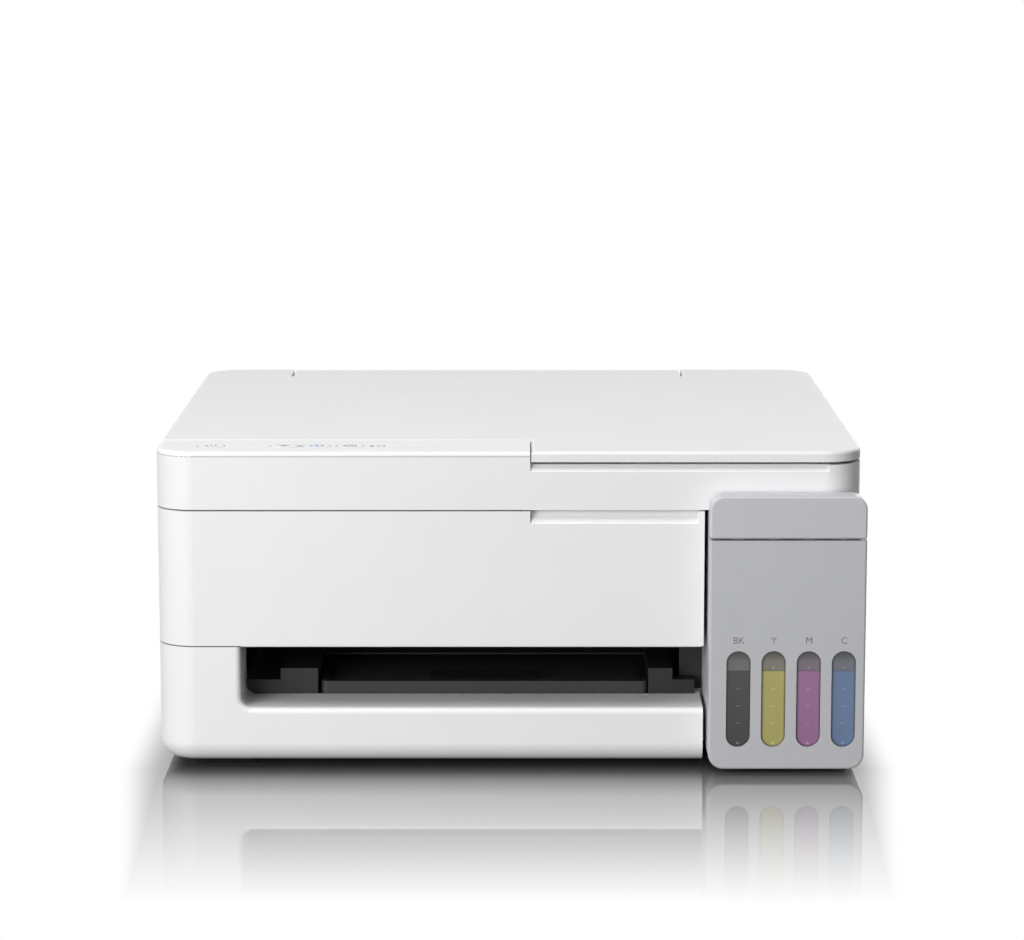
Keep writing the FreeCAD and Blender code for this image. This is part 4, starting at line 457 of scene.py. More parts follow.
@dataclass(frozen=True)
class CircuitBoard(Finish):
    """Green board with copper tracks under the varnish and bright pads."""

    pitch: float = 2.54 * MM
    varnish: Colour = srgb(22, 78, 48)
    track: Colour = srgb(58, 128, 74)
    pad: Colour = srgb(205, 196, 160)
    field_size: float = 14 * MM
    track_edge: tuple[float, float] = (0.62, 0.7)
    pad_edge: tuple[float, float] = (0.8, 0.86)
    copper: float = 0.04 * MM

    def paint(self, graph: Graph) -> None:
        """Draw tracks between a grid of pads, which run one way or the other by slow noise."""
        across, deep, height = graph.axes()
        run = (across + height).ping_pong(self.pitch / 2) / (self.pitch / 2)
        rung = (deep + height * 0.7).ping_pong(self.pitch / 2) / (self.pitch / 2)
        turned = graph.noise(self.field_size, 1.0).rise(0.45, 0.52)
        tracks = (run.rise(*self.track_edge) * turned).larger(rung.rise(*self.track_edge) * (1 - turned))
        pads = run.rise(*self.pad_edge) * rung.rise(*self.pad_edge)
        varnish = graph.mix(tracks * 0.55, self.varnish, self.track)
        graph.principled({
            "Base Color": graph.mix(pads, varnish, self.pad),
            "Metallic": pads * 0.8,
            "Roughness": 0.34 + graph.noise(6 * MM) * 0.16,
            "Normal": graph.bump(tracks.larger(pads), self.copper),
        })


@dataclass(frozen=True)
class Felt(Finish):
    """Matt felt or foam with a short nap."""

    colour: Colour
    shade: Colour
    nap: float = 0.6 * MM
    nap_depth: float = 0.08 * MM
    cloud_size: float = 18 * MM

    def paint(self, graph: Graph) -> None:
        """Mottle the colour and raise the fibres as bump."""
        fibre = graph.noise(self.nap, 6.0)
        cloud = graph.noise(self.cloud_size, 3.0)
        graph.principled({
            "Base Color": graph.mix((fibre * 0.6 + cloud * 0.4).rise(0.3, 0.75), self.colour, self.shade),
            "Roughness": 0.86 + (fibre - 0.5) * 0.12,
            "Normal": graph.bump(fibre, self.nap_depth),
            "Sheen Weight": 0.25,
        })


@dataclass(frozen=True)
class GraduatedFilm(Finish):
    """Clear film with fine dark lines across its length."""

    pitch: float = 0.6 * MM
    clear: Colour = srgb(205, 208, 212)
    line: Colour = srgb(30, 30, 32)

    def paint(self, graph: Graph) -> None:
        """Rule the lines across X."""
        across, _, _ = graph.axes()
        lines = (across.ping_pong(self.pitch / 2) / (self.pitch / 2)).rise(0.45, 0.55)
        graph.principled({
            "Base Color": graph.mix(lines, self.clear, self.line),
            "Roughness": 0.18 + lines * 0.2,
            "Coat Weight": 0.6,
        })


@dataclass(frozen=True)
class PrintAndShadeInk(Finish):
    """Pad-printed marking ink, a little uneven; the same ink also draws the painted shade strips and rings.
    """

    colour: Colour
    thin: float = 0.1
    paper: float = 0.7
    patch_size: float = 0.7 * MM
    patch_depth: float = 0.004 * MM

    def paint(self, graph: Graph) -> None:
        """Let the ink thin out in small patches."""
        patch = graph.noise(self.patch_size, 4.0)
        pale = tuple(channel + (self.paper - channel) * self.thin for channel in self.colour)
        graph.principled({
            "Base Color": graph.mix(patch.rise(0.45, 0.85), self.colour, pale),
            "Roughness": 0.48 + (patch - 0.5) * 0.2,
            "Normal": graph.bump(patch, self.patch_depth),
        })


@dataclass(frozen=True)
class StudioFloor(Finish):
    """Polished floor that runs out into a white background round the printer; the dark floor left round the
    printer's footprint is painted shadow, and its mirror shows real reflections.
    """

    colour: Colour
    half_width: float
    half_depth: float
    side_shade_fade: float
    front_fade: float
    taper: float
    roughness: float
    polish: float
    wear_size: float = 0.5

    def paint(self, graph: Graph) -> None:
        """Mix the polished floor into plain white away from the object, where it is seen directly."""
        across, deep, _ = graph.axes()
        seen = graph.seen()
        wear = graph.noise(self.wear_size, 3.0)
        ground = graph.node("ShaderNodeBsdfDiffuse", None, {"Color": self.colour})
        gloss = graph.node("ShaderNodeBsdfGlossy", None, {"Roughness": self.roughness + (wear - 0.5) * 0.02})
        mirror = seen * self.polish
        polished = graph.node("ShaderNodeMixShader", None, {0: mirror, 1: ground.out(), 2: gloss.out()})
        white = graph.node("ShaderNodeEmission", None, {"Color": (1.0, 1.0, 1.0), "Strength": 1.0})
        # the dark floor fades to white a little way beside and in front of the printer: a painted shadow
        # round its footprint
        beyond = (deep.absolute() - self.half_depth).larger(0.0)
        beside = ((across.absolute() + beyond * self.taper - self.half_width) / self.side_shade_fade).rise(0.0, 1.0)
        fade = beside.larger(beyond / self.front_fade).smaller(1.0) * seen
        graph.surface(graph.node("ShaderNodeMixShader", None, {0: fade, 1: polished.out(), 2: white.out()}))


WHITE_PLASTIC = MouldedPlastic("white_case_plastic", srgb(244, 244, 245), srgb(242, 242, 243))
LID_PLASTIC = MouldedPlastic("lid_plastic", srgb(241, 241, 242), srgb(239, 239, 240), 0.46, 0.55 * MM,
                             0.02 * MM)
KEY_PLASTIC = MouldedPlastic("key_plastic", srgb(244, 244, 245), srgb(241, 241, 243), 0.36, 0.25 * MM,
                             0.006 * MM)
TANK_GREY = MouldedPlastic("tank_grey_plastic", srgb(195, 196, 199), srgb(192, 193, 196), 0.45)
COVER_GREY = MouldedPlastic("cover_grey_plastic", srgb(202, 202, 206), srgb(199, 199, 203), 0.4)
INNER_GREY = MouldedPlastic("inner_grey_plastic", srgb(120, 121, 124), srgb(108, 109, 112), 0.5)
# black plastic of the paper exit; the exit frame and the tray are set darker than real black plastic and than
# the leaf, as painted shade deep in the exit
EXIT_BLACK_SHADED = MouldedPlastic("exit_black_shaded_plastic", srgb(22, 22, 23), srgb(19, 19, 20), 0.56, 0.5 * MM,
                            0.02 * MM)
TRAY_BLACK_SHADED = MouldedPlastic("tray_black_shaded_plastic", srgb(13, 13, 14), srgb(11, 11, 12), 0.56, 0.5 * MM,
                            0.02 * MM)
LEAF_BLACK = MouldedPlastic("leaf_black_plastic", srgb(45, 45, 46), srgb(41, 41, 42), 0.54, 0.5 * MM,
                            0.02 * MM)
ENGINE_BLACK = MouldedPlastic("engine_black_plastic", srgb(46, 46, 48), srgb(38, 38, 40), 0.45)
GEAR_ACETAL = MouldedPlastic("gear_acetal", srgb(228, 226, 218), srgb(216, 214, 206), 0.3)
PORT_BLACK = MouldedPlastic("port_black_plastic", srgb(28, 28, 29), srgb(20, 20, 21), 0.38)
YELLOW_CAP = MouldedPlastic("yellow_cap_plastic", srgb(214, 178, 44), srgb(198, 164, 38), 0.38)
MAGENTA_CAP = MouldedPlastic("magenta_cap_plastic", srgb(176, 52, 110), srgb(160, 44, 98), 0.38)
CYAN_CAP = MouldedPlastic("cyan_cap_plastic", srgb(38, 120, 178), srgb(30, 106, 160), 0.38)
BLACK_CAP = MouldedPlastic("black_cap_plastic", srgb(44, 44, 46), srgb(34, 34, 36), 0.38)
TUBE_PLASTIC = MouldedPlastic("ink_tube_plastic", srgb(92, 90, 98), srgb(66, 64, 72), 0.22, 0.8 * MM,
                              0.01 * MM, coat=0.6)
LIGHT_PIPE = MouldedPlastic("light_pipe_plastic", srgb(96, 98, 104), srgb(84, 86, 92), 0.25, coat=0.5)
SENSOR_BLACK = MouldedPlastic("sensor_black_plastic", srgb(38, 39, 41), srgb(30, 31, 33), 0.42)
ROLLER_METAL = DrawnSteel("roller_metal", srgb(186, 187, 190), 0.36)
SHAFT_STEEL = DrawnSteel("shaft_steel", srgb(205, 206, 208), 0.16)
SHEET_STEEL = DrawnSteel("sheet_steel", srgb(176, 178, 180), 0.38, 8.0)
BRASS = DrawnSteel("brass", srgb(196, 164, 92), 0.3, 4.0)
FOOT_RUBBER = Rubber("foot_rubber", srgb(46, 46, 47), srgb(78, 78, 78))
ROLLER_RUBBER = Rubber("roller_rubber", srgb(70, 70, 72), srgb(104, 103, 101))
SCANNER_GLASS = ClearSheet("scanner_glass", srgb(226, 238, 232))
BOARD = CircuitBoard("circuit_board")
PAD_FACE = Felt("pad_white_sheet", srgb(240, 240, 238), srgb(232, 232, 230), 0.3 * MM)
INK_FELT = Felt("waste_ink_felt", srgb(214, 212, 208), srgb(186, 184, 184))
ENCODER_FILM = GraduatedFilm("encoder_film")
GREY_PRINT = PrintAndShadeInk("grey_print", srgb(108, 108, 112))
DARK_PRINT = PrintAndShadeInk("dark_print", srgb(70, 70, 75))
BLUE_PRINT = PrintAndShadeInk("blue_print", srgb(26, 96, 186), 0.05)
KEY_GAP_SHADE = PrintAndShadeInk("key_gap_shade", srgb(176, 176, 180))
SEAM_SHADE = PrintAndShadeInk("seam_shade", srgb(98, 98, 100), 0.05)
PALE_SHADE_LINE = PrintAndShadeInk("pale_shade_line", srgb(176, 176, 179), 0.05)
FLOOR = StudioFloor("studio_floor", (0.12, 0.12, 0.12), half_width=183 * MM, half_depth=160 * MM,
                    side_shade_fade=26 * MM, front_fade=245 * MM, taper=0.115, roughness=0.03, polish=0.52)


def dress(finishes: dict[str, Finish]) -> None:
    """Give CAD nodes their finishes.

    Args:
        finishes: the finish of each node, by the node's name.
    """
    for name, finish in finishes.items():
        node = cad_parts[name]
        node.data.materials.clear()
        node.data.materials.append(finish.material())
        LOG.info("dressed %s in %s", name, finish.name)


def piece(name: str, mesh: bmesh.types.BMesh, finish: Finish, body: Body) -> bpy.types.Object:
    """Turn a finished bmesh into a piece that rides on a body.

    Args:
        name: the piece's name.
        mesh: its shape in place, freed here.
        finish: what it is finished in.
        body: the body that carries it.

    Returns:
        The piece's object.
    """
    bmesh.ops.recalc_face_normals(mesh, faces=mesh.faces)
    data = bpy.data.meshes.new(name)
    mesh.to_mesh(data)
    mesh.free()
    data.materials.append(finish.material())
    shown = bpy.data.objects.new(name, data)
    bpy.context.scene.collection.objects.link(shown)
    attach(shown, body.value)
    LOG.info("made %s on %s", name, body.value)
    return shown


def smooth(shown: bpy.types.Object, angle: float = 40.0) -> None:
    """Shade a piece smooth, with its edges sharp past an angle in degrees."""
    shown.data.shade_smooth()
    shown.data.set_sharp_from_angle(angle=math.radians(angle))


def thicken(mesh: bmesh.types.BMesh, thickness: float) -> None:
    """Give flat faces a thickness along +Z.

    Args:
        mesh: flat faces in the XY plane.
        thickness: how far they are raised.
    """
    raised = bmesh.ops.extrude_face_region(mesh, geom=list(mesh.faces), use_keep_orig=True)
    corners = [item for item in raised["geom"] if isinstance(item, bmesh.types.BMVert)]
    bmesh.ops.translate(mesh, verts=corners, vec=(0.0, 0.0, thickness))


def arc_band(mesh: bmesh.types.BMesh, radius: float, width: float, start: float, sweep: float) -> None:
    """Add a flat band along an arc about the Z axis.

    Args:
        mesh: where it is added.
        radius: radius of its middle line.
        width: width of the band.
        start: the angle where it starts, in degrees from +X.
        sweep: the angle that it spans, in degrees; 360 closes it.
    """
    turn = math.radians(start)
    ray = Vector((math.cos(turn), math.sin(turn), 0.0))
    ends = [mesh.verts.new(ray * (radius + side * width / 2)) for side in (-1, 1)]
    edge = mesh.edges.new(ends)
    full = sweep >= FULL_TURN
    bmesh.ops.spin(mesh, geom=[*ends, edge], cent=(0, 0, 0), axis=(0, 0, 1), angle=math.radians(sweep),
                   steps=max(14, int(sweep / 9)), use_merge=full)
    if full:
        bmesh.ops.remove_doubles(mesh, verts=list(mesh.verts), dist=width / 50)


def bar(mesh: bmesh.types.BMesh, first: tuple[float, float], last: tuple[float, float], width: float) -> None:
    """Add a flat bar between two points of the XY plane.

    Args:
        mesh: where it is added.
        first, last: the ends of its middle line.
        width: width of the bar.
    """
    start, end = Vector((*first, 0.0)), Vector((*last, 0.0))
    along = end - start
    place = Matrix.Translation((start + end) / 2) @ along.to_track_quat("X", "Z").to_matrix().to_4x4()
    size = Matrix.Diagonal((along.length, width, 1.0, 1.0))
    bmesh.ops.create_grid(mesh, x_segments=1, y_segments=1, size=0.5, matrix=place @ size)


def disc(mesh: bmesh.types.BMesh, centre: tuple[float, float], radius: float, sides: int = 20,
         turn: float = 0.0) -> None:
    """Add a flat filled disc or polygon to the XY plane.

    Args:
        mesh: where it is added.
        centre: its middle.
        radius: radius to its corners.
        sides: number of corners.
        turn: how far it is turned, in degrees.
    """
    place = Matrix.Translation((*centre, 0.0)) @ Matrix.Rotation(math.radians(turn), 4, "Z")
    bmesh.ops.create_circle(mesh, cap_ends=True, segments=sides, radius=radius, matrix=place)


def lettering(text: str, height: float, thickness: float) -> bmesh.types.BMesh:
    """Make raised letters in the XY plane, centred on the origin.

    Args:
        text: the letters.
        height: height of a capital.
        thickness: how far they are raised.

    Returns:
        The letters' mesh.
    """
    capital_share = 0.73
    curve = bpy.data.curves.new("letters", "FONT")
    curve.body = text
    curve.size = 1.0 / capital_share
    curve.align_x, curve.align_y = "CENTER", "CENTER"
    curve.extrude = thickness / height / 2
    shown = bpy.data.objects.new("letters", curve)
    bpy.context.scene.collection.objects.link(shown)
    data = bpy.data.meshes.new_from_object(shown.evaluated_get(bpy.context.evaluated_depsgraph_get()))
    mesh = bmesh.new()
    mesh.from_mesh(data)
    bmesh.ops.remove_doubles(mesh, verts=mesh.verts, dist=1e-5)
    bmesh.ops.scale(mesh, verts=mesh.verts, vec=(height, height, height))
    bpy.data.objects.remove(shown)
    bpy.data.curves.remove(curve)
    bpy.data.meshes.remove(data)
    return mesh


def lay_flat_mark(mesh: bmesh.types.BMesh, place: Vector) -> None:
    """Give flat print and painted shade marks their thickness and lay them a hair proud of a level surface.
    """
    thicken(mesh, PRINT_DEPTH)
    bmesh.ops.translate(mesh, verts=mesh.verts, vec=place + Vector((0.0, 0.0, LEVEL_PROUD - PRINT_DEPTH)))


def stand_up(mesh: bmesh.types.BMesh, place: Vector) -> None:
    """Turn flat work to face the front and move it onto an upright surface."""
    matrix = Matrix.Translation(place) @ Matrix.Rotation(math.radians(90), 4, "X")
    bmesh.ops.transform(mesh, matrix=matrix, verts=mesh.verts)


def block(low: Vector, high: Vector) -> bmesh.types.BMesh:
    """Make a box between two corners."""
    mesh = bmesh.new()
    place = Matrix.Translation((low + high) / 2) @ Matrix.Diagonal((*(high - low), 1.0))
    bmesh.ops.create_cube(mesh, size=1.0, matrix=place)
    return mesh


def round_off(mesh: bmesh.types.BMesh, edges: list[bmesh.types.BMEdge], radius: float, steps: int) -> None:
    """Round edges off in a number of steps."""
    bmesh.ops.bevel(mesh, geom=edges, offset=radius, offset_type="OFFSET", affect="EDGES", segments=steps,
                    profile=0.5, material=-1)


def draw_out(mesh: bmesh.types.BMesh, edges: list[bmesh.types.BMEdge],
             by: Vector) -> list[bmesh.types.BMEdge]:
    """Draw edges out into faces and return the edges at their far end."""
    drawn = bmesh.ops.extrude_edge_only(mesh, edges=edges)["geom"]
    corners = [item for item in drawn if isinstance(item, bmesh.types.BMVert)]
    bmesh.ops.translate(mesh, verts=corners, vec=by)
    return [item for item in drawn if isinstance(item, bmesh.types.BMEdge)]


def edge_strip(right: float, rear: float, levels: tuple[float, float], proud: float) -> bmesh.types.BMesh:
    """Make a thin upright strip along the case's front and left side, round its corner.

    Args:
        right: where it starts on the front.
        rear: where it ends on the left side.
        levels: its lower and upper edge.
        proud: how far it stands out of the case, or lies behind its face if negative.

    Returns:
        The strip's mesh.
    """
    corner_steps, weld = 12, 1e-4 * MM
    low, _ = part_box("upper_case")
    centre = Vector((low.x + CASE_CORNER, low.y + CASE_CORNER, 0.0))
    mesh = bmesh.new()
    ends = [mesh.verts.new((right, low.y - proud, level)) for level in levels]
    edges = draw_out(mesh, [mesh.edges.new(ends)], Vector((centre.x - right, 0.0, 0.0)))
    turned = bmesh.ops.spin(mesh, geom=[*edges[0].verts, *edges], cent=centre, axis=(0, 0, 1),
                            angle=math.radians(-90), steps=corner_steps)
    edges = [item for item in turned["geom_last"] if isinstance(item, bmesh.types.BMEdge)]
    draw_out(mesh, edges, Vector((0.0, rear - centre.y, 0.0)))
    bmesh.ops.remove_doubles(mesh, verts=mesh.verts, dist=weld)
    bmesh.ops.recalc_face_normals(mesh, faces=mesh.faces)
    bmesh.ops.solidify(mesh, geom=list(mesh.faces), thickness=PRINT_DEPTH)
    return mesh


def soft_block(node: str, name: str, finish: Finish, body: Body, corner: float, edge: float) -> None:
    """Make a pad with rounded corners and soft edges in the space of a CAD node.

    Args:
        node: the CAD node that it stands for.
        name: the pad's name.
        finish: what it is finished in.
        body: the body that carries it.
        corner: radius of its upright corners.
        edge: radius of its soft edges.
    """
    corner_steps, edge_steps = 8, 4
    low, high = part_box(node)
    tall = high.z - low.z
    mesh = block(low, high)
    upright = [e for e in mesh.edges if abs(e.verts[0].co.z - e.verts[1].co.z) > tall / 2]
    round_off(mesh, upright, corner, corner_steps)
    rims = [e for e in mesh.edges if abs(e.verts[0].co.z - e.verts[1].co.z) < tall / 100]
    round_off(mesh, rims, edge, edge_steps)
    pad = piece(name, mesh, finish, body)
    smooth(pad)
    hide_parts(node)


@dataclass
class Case:
    """Base and upper shells with their feet, and a dark strip of painted shade in the groove between them."""

    groove: float = 0.7 * MM
    groove_inset: float = 0.25 * MM
    groove_right: float = -143.0 * MM
    groove_rear: float = 150.0 * MM

    def build(self) -> None:
        """Dress the shells and shade the groove."""
        dress({"base_case": WHITE_PLASTIC, "upper_case": WHITE_PLASTIC, "rubber_feet": FOOT_RUBBER,
               "hinge_posts": WHITE_PLASTIC})
        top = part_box("base_case")[1].z
        # a dark strip laid in the groove stands in for its shade: painted shade
        strip = edge_strip(self.groove_right, self.groove_rear, (top, top + self.groove), -self.groove_inset)
        piece("case_groove_shade", strip, SEAM_SHADE, Body.BASE)


@dataclass
class InkStation:
    """Tank housing with its cover, tanks, caps, letters and level marks."""

    letters: tuple[str, ...] = ("BK", "Y", "M", "C")
    letter_height: float = 3.7 * MM
    letter_z: float = 73.5 * MM
    level: float = 57.1 * MM
    tick_heights: tuple[float, ...] = (47.3 * MM, 38.1 * MM, 28.8 * MM)
    tick_length: float = 2.0 * MM
    tick_width: float = 0.4 * MM
    tick_lift: float = 0.12
    arrow_heights: tuple[float, ...] = (58.8 * MM, 18.0 * MM)
    arrow_radii: tuple[float, ...] = (0.75 * MM, 1.1 * MM)
    window_low: float = 16.0 * MM
    window_top: float = 68.0 * MM
    window_half: float = 6.4 * MM
    inks: tuple[Colour, ...] = (srgb(56, 56, 55), srgb(176, 168, 98), srgb(154, 106, 150),
                                srgb(96, 121, 156))
    centres: list[float] = field(default_factory=list)

    def build(self) -> None:
        """Find the tank centres from the caps, then dress and mark the station."""
        for ink in ("black", "yellow", "magenta", "cyan"):
            low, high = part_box("ink_cap_" + ink)
            self.centres.append((low.x + high.x) / 2)
        self.dress_nodes()
        self.print_letters()
        self.print_levels()

    def dress_nodes(self) -> None:
        """Dress the housing, tanks and caps."""
        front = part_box("ink_tanks")[0].y
        tanks = InkTankPlastic("ink_tank_plastic", self.inks, tuple(self.centres), self.level,
                               self.window_low, self.window_top, self.window_half, front)
        dress({"tank_housing": TANK_GREY, "tank_cover": COVER_GREY, "ink_tanks": tanks,
               "ink_cap_black": BLACK_CAP, "ink_cap_yellow": YELLOW_CAP, "ink_cap_magenta": MAGENTA_CAP,
               "ink_cap_cyan": CYAN_CAP, "ink_tubes": TUBE_PLASTIC})

    def print_letters(self) -> None:
        """Print a letter above each window."""
        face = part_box("tank_housing")[0].y
        for text, centre in zip(self.letters, self.centres):
            mesh = lettering(text, self.letter_height, PRINT_DEPTH)
            stand_up(mesh, Vector((centre, face - FACE_PROUD + PRINT_DEPTH / 2, self.letter_z)))
            piece("letter_" + text.lower(), mesh, GREY_PRINT, Body.BASE)

    def print_levels(self) -> None:
        """Print the level ticks and the two arrows on each tank's window."""
        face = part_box("ink_tanks")[0].y
        for text, centre, ink in zip(self.letters, self.centres, self.inks):
            paler = tuple(channel + self.tick_lift for channel in ink)
            print_ink = PrintAndShadeInk("level_print_" + text.lower(), paler)
            mesh = bmesh.new()
            half = self.tick_length / 2
            for height in self.tick_heights:
                bar(mesh, (-half, height), (half, height), self.tick_width)
            for height, radius in zip(self.arrow_heights, self.arrow_radii):
                disc(mesh, (0.0, height), radius, sides=3)
            thicken(mesh, PRINT_DEPTH)
            stand_up(mesh, Vector((centre, face + PRINT_DEPTH - FACE_PROUD, 0.0)))
            piece("level_marks_" + text.lower(), mesh, print_ink, Body.BASE)


@dataclass
class Controls:
    """Control panel with its keys and printed signs."""

    stroke: float = 0.85 * MM
    ring: float = 2.9 * MM
    power_arc: tuple[float, float] = (125.0, 290.0)
    wave_arc: tuple[float, float] = (45.0, 90.0)
    wave_shares: tuple[float, ...] = (0.55, 1.05, 1.55)
    key_radius: float = 7.45 * MM
    key_line: float = 0.5 * MM
    drop_x: float = -73.1 * MM
    drop_radius: float = 1.4 * MM
    drop_tip: float = 1.6 * MM
    sheet_x: float = -68.2 * MM
    sheet_half: float = 1.7 * MM
    sheet_shape: float = 1.4
    seam: float = 0.22 * MM

    def build(self) -> None:
        """Dress the panel, print its signs, paint shade rings round the keys, and draw the painted seam shade
        under it.
        """
        dress({"control_panel": WHITE_PLASTIC, "panel_board": BOARD, "power_button": KEY_PLASTIC,
               "wireless_button": KEY_PLASTIC, "status_button": KEY_PLASTIC, "stop_button": KEY_PLASTIC,
               "indicator_light": LIGHT_PIPE})
        self.print_key("power", self.power_sign(), Body.POWER, GREY_PRINT)
        self.print_key("wireless", self.wireless_sign(), Body.WIRELESS, DARK_PRINT)
        self.print_key("status", self.status_sign(), Body.STATUS, BLUE_PRINT)
        self.print_key("stop", self.stop_sign(), Body.STOP, DARK_PRINT)
        self.print_side_signs()
        # a grey strip along the panel's lower edge stands for the shade in the seam under it: painted shade
        low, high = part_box("control_panel")
        strip = edge_strip(high.x, high.y, (low.z - self.seam, low.z + self.seam), FACE_PROUD)
        piece("panel_seam_shade", strip, PALE_SHADE_LINE, Body.SCANNER)

    def print_key(self, key: str, sign: bmesh.types.BMesh, body: Body, finish: Finish) -> None:
        """Print a sign on a key's top, and paint a thin ring of shade on the panel round the key, where its
        gap is.

        Args:
            key: the key's name.
            sign: its sign, centred on the origin.
            body: the key's body.
            finish: the ink of the sign.
        """
        low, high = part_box(key + "_button")
        middle = (low + high) / 2
        lay_flat_mark(sign, Vector((middle.x, middle.y, high.z)))
        piece(key + "_sign", sign, finish, body)
        # a pale grey ring round the key stands for the shade in its gap: painted shade
        ring = self.circle(self.key_radius, self.key_line)
        lay_flat_mark(ring, Vector((middle.x, middle.y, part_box("control_panel")[1].z)))
        piece(key + "_gap_shade", ring, KEY_GAP_SHADE, Body.SCANNER)

    @staticmethod
    def circle(radius: float, line: float) -> bmesh.types.BMesh:
        """A flat closed ring."""
        mesh = bmesh.new()
        arc_band(mesh, radius, line, 0.0, FULL_TURN)
        return mesh

    def power_sign(self) -> bmesh.types.BMesh:
        """An open ring with an upright stroke."""
        mesh = bmesh.new()
        arc_band(mesh, self.ring, self.stroke, *self.power_arc)
        bar(mesh, (0.0, self.ring * 0.35), (0.0, self.ring * 1.35), self.stroke)
        return mesh

    def wireless_sign(self) -> bmesh.types.BMesh:
        """Three arcs over a dot."""
        mesh = bmesh.new()
        for share in self.wave_shares:
            arc_band(mesh, self.ring * share, self.stroke, *self.wave_arc)
        disc(mesh, (0.0, 0.0), self.stroke * 0.9)
        bmesh.ops.translate(mesh, verts=mesh.verts, vec=(0.0, -self.ring * 0.7, 0.0))
        return mesh

    def status_sign(self) -> bmesh.types.BMesh:
        """A ring round a stroke and a dot."""
        mesh = self.circle(self.ring * 1.2, self.stroke)
        bar(mesh, (0.0, -self.ring * 0.6), (0.0, self.ring * 0.2), self.stroke * 1.2)
        disc(mesh, (0.0, self.ring * 0.6), self.stroke * 0.75)
        return mesh

    def stop_sign(self) -> bmesh.types.BMesh:
        """A ring round a slanting stroke."""
        mesh = self.circle(self.ring * 1.1, self.stroke)
        reach = self.ring * 0.62
        bar(mesh, (-reach, -reach), (reach, reach), self.stroke)
        return mesh

    def print_side_signs(self) -> None:
        """Print a drop and a sheet beside the last key."""
        low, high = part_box("stop_button")
        middle = (low.y + high.y) / 2
        mesh = bmesh.new()
        disc(mesh, (self.drop_x, middle - 1.0 * MM), self.drop_radius)
        disc(mesh, (self.drop_x, middle + 0.7 * MM), self.drop_tip, sides=3, turn=90.0)
        left, right = self.sheet_x - self.sheet_half, self.sheet_x + self.sheet_half
        tall = self.sheet_half * self.sheet_shape
        front, back = middle - tall, middle + tall
        corners = [(left, front), (right, front), (right, back), (left, back)]
        for first, last in zip(corners, corners[1:] + corners[:1]):
            bar(mesh, first, last, self.stroke * 0.7)
        lay_flat_mark(mesh, Vector((0.0, 0.0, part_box("control_panel")[1].z)))
        piece("panel_signs", mesh, GREY_PRINT, Body.SCANNER)


@dataclass
class Scanner:
    """Scanner tub with its glass, sensor and the pad under the lid."""

    pad_corner: float = 6.0 * MM
    pad_edge: float = 1.2 * MM
    pad_fill: float = 0.9

    def build(self) -> None:
        """Dress the scanner and the lid, and make the pad."""
        dress({"scanner_tub": WHITE_PLASTIC, "glass_frame": WHITE_PLASTIC, "scanner_glass": SCANNER_GLASS,
               "image_sensor": SENSOR_BLACK, "sensor_rail": SHAFT_STEEL, "document_lid": LID_PLASTIC})
        soft_block("lid_pad", "document_pad", PAD_FACE, Body.LID, self.pad_corner, self.pad_edge)


@dataclass
class Feeder:
    """Rear sheet feeder with its support, guides, pickup roller and a painted shadow line along the support's
    front.
    """

    line_width: float = 1.1 * MM
    strip_depth: float = 30.5 * MM
    bow: float = 12.0 * MM
    line_end: float = 1.5 * MM

    def build(self) -> None:
        """Dress the feeder and draw the painted shadow line."""
        dress({"feeder_frame": WHITE_PLASTIC, "paper_support": LID_PLASTIC,
               "support_extension": WHITE_PLASTIC, "edge_guide_left": INNER_GREY,
               "edge_guide_right": INNER_GREY, "pickup_roller": ROLLER_RUBBER})
        low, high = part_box("paper_support")
        half = (high.x - low.x) / 2
        radius = (half * half + self.bow * self.bow) / (2 * self.bow)
        sweep = 2 * math.degrees(math.asin((half - self.line_end) / radius))
        # a pale grey arc along the support's front edge stands for the shadow under it: painted shadow
        mesh = bmesh.new()
        arc_band(mesh, radius + self.line_width / 2, self.line_width, 90 - sweep / 2, sweep)
        lay_flat_mark(mesh, Vector(((low.x + high.x) / 2, high.y - self.strip_depth + self.bow - radius, high.z)))
        piece("support_shadow_line", mesh, PALE_SHADE_LINE, Body.SUPPORT)


@dataclass
class PaperExit:
    """Exit frame with the output tray, its leaf, the stopper and a black plate of painted shade beside the
    sheets.
    """

    shade_plate_low: Vector = field(default_factory=lambda: Vector((92.5, -112.3, 33.8)) * MM)
    shade_plate_high: Vector = field(default_factory=lambda: Vector((104.9, -111.7, 66.0)) * MM)
    shade_plate_edge: float = 0.15 * MM
    shade_plate_steps: int = 2

    def build(self) -> None:
        """Dress the exit and put up the black plate of painted shade."""
        dress({"exit_frame": EXIT_BLACK_SHADED, "output_tray": TRAY_BLACK_SHADED, "tray_extension": LEAF_BLACK,
               "tray_stopper": TRAY_BLACK_SHADED})
        # a black plate beside the sheets darkens the exit's side, where there is only shade: painted shade
        mesh = block(self.shade_plate_low, self.shade_plate_high)
        round_off(mesh, list(mesh.edges), self.shade_plate_edge, self.shade_plate_steps)
        piece("exit_shade_plate", mesh, EXIT_BLACK_SHADED, Body.BASE)


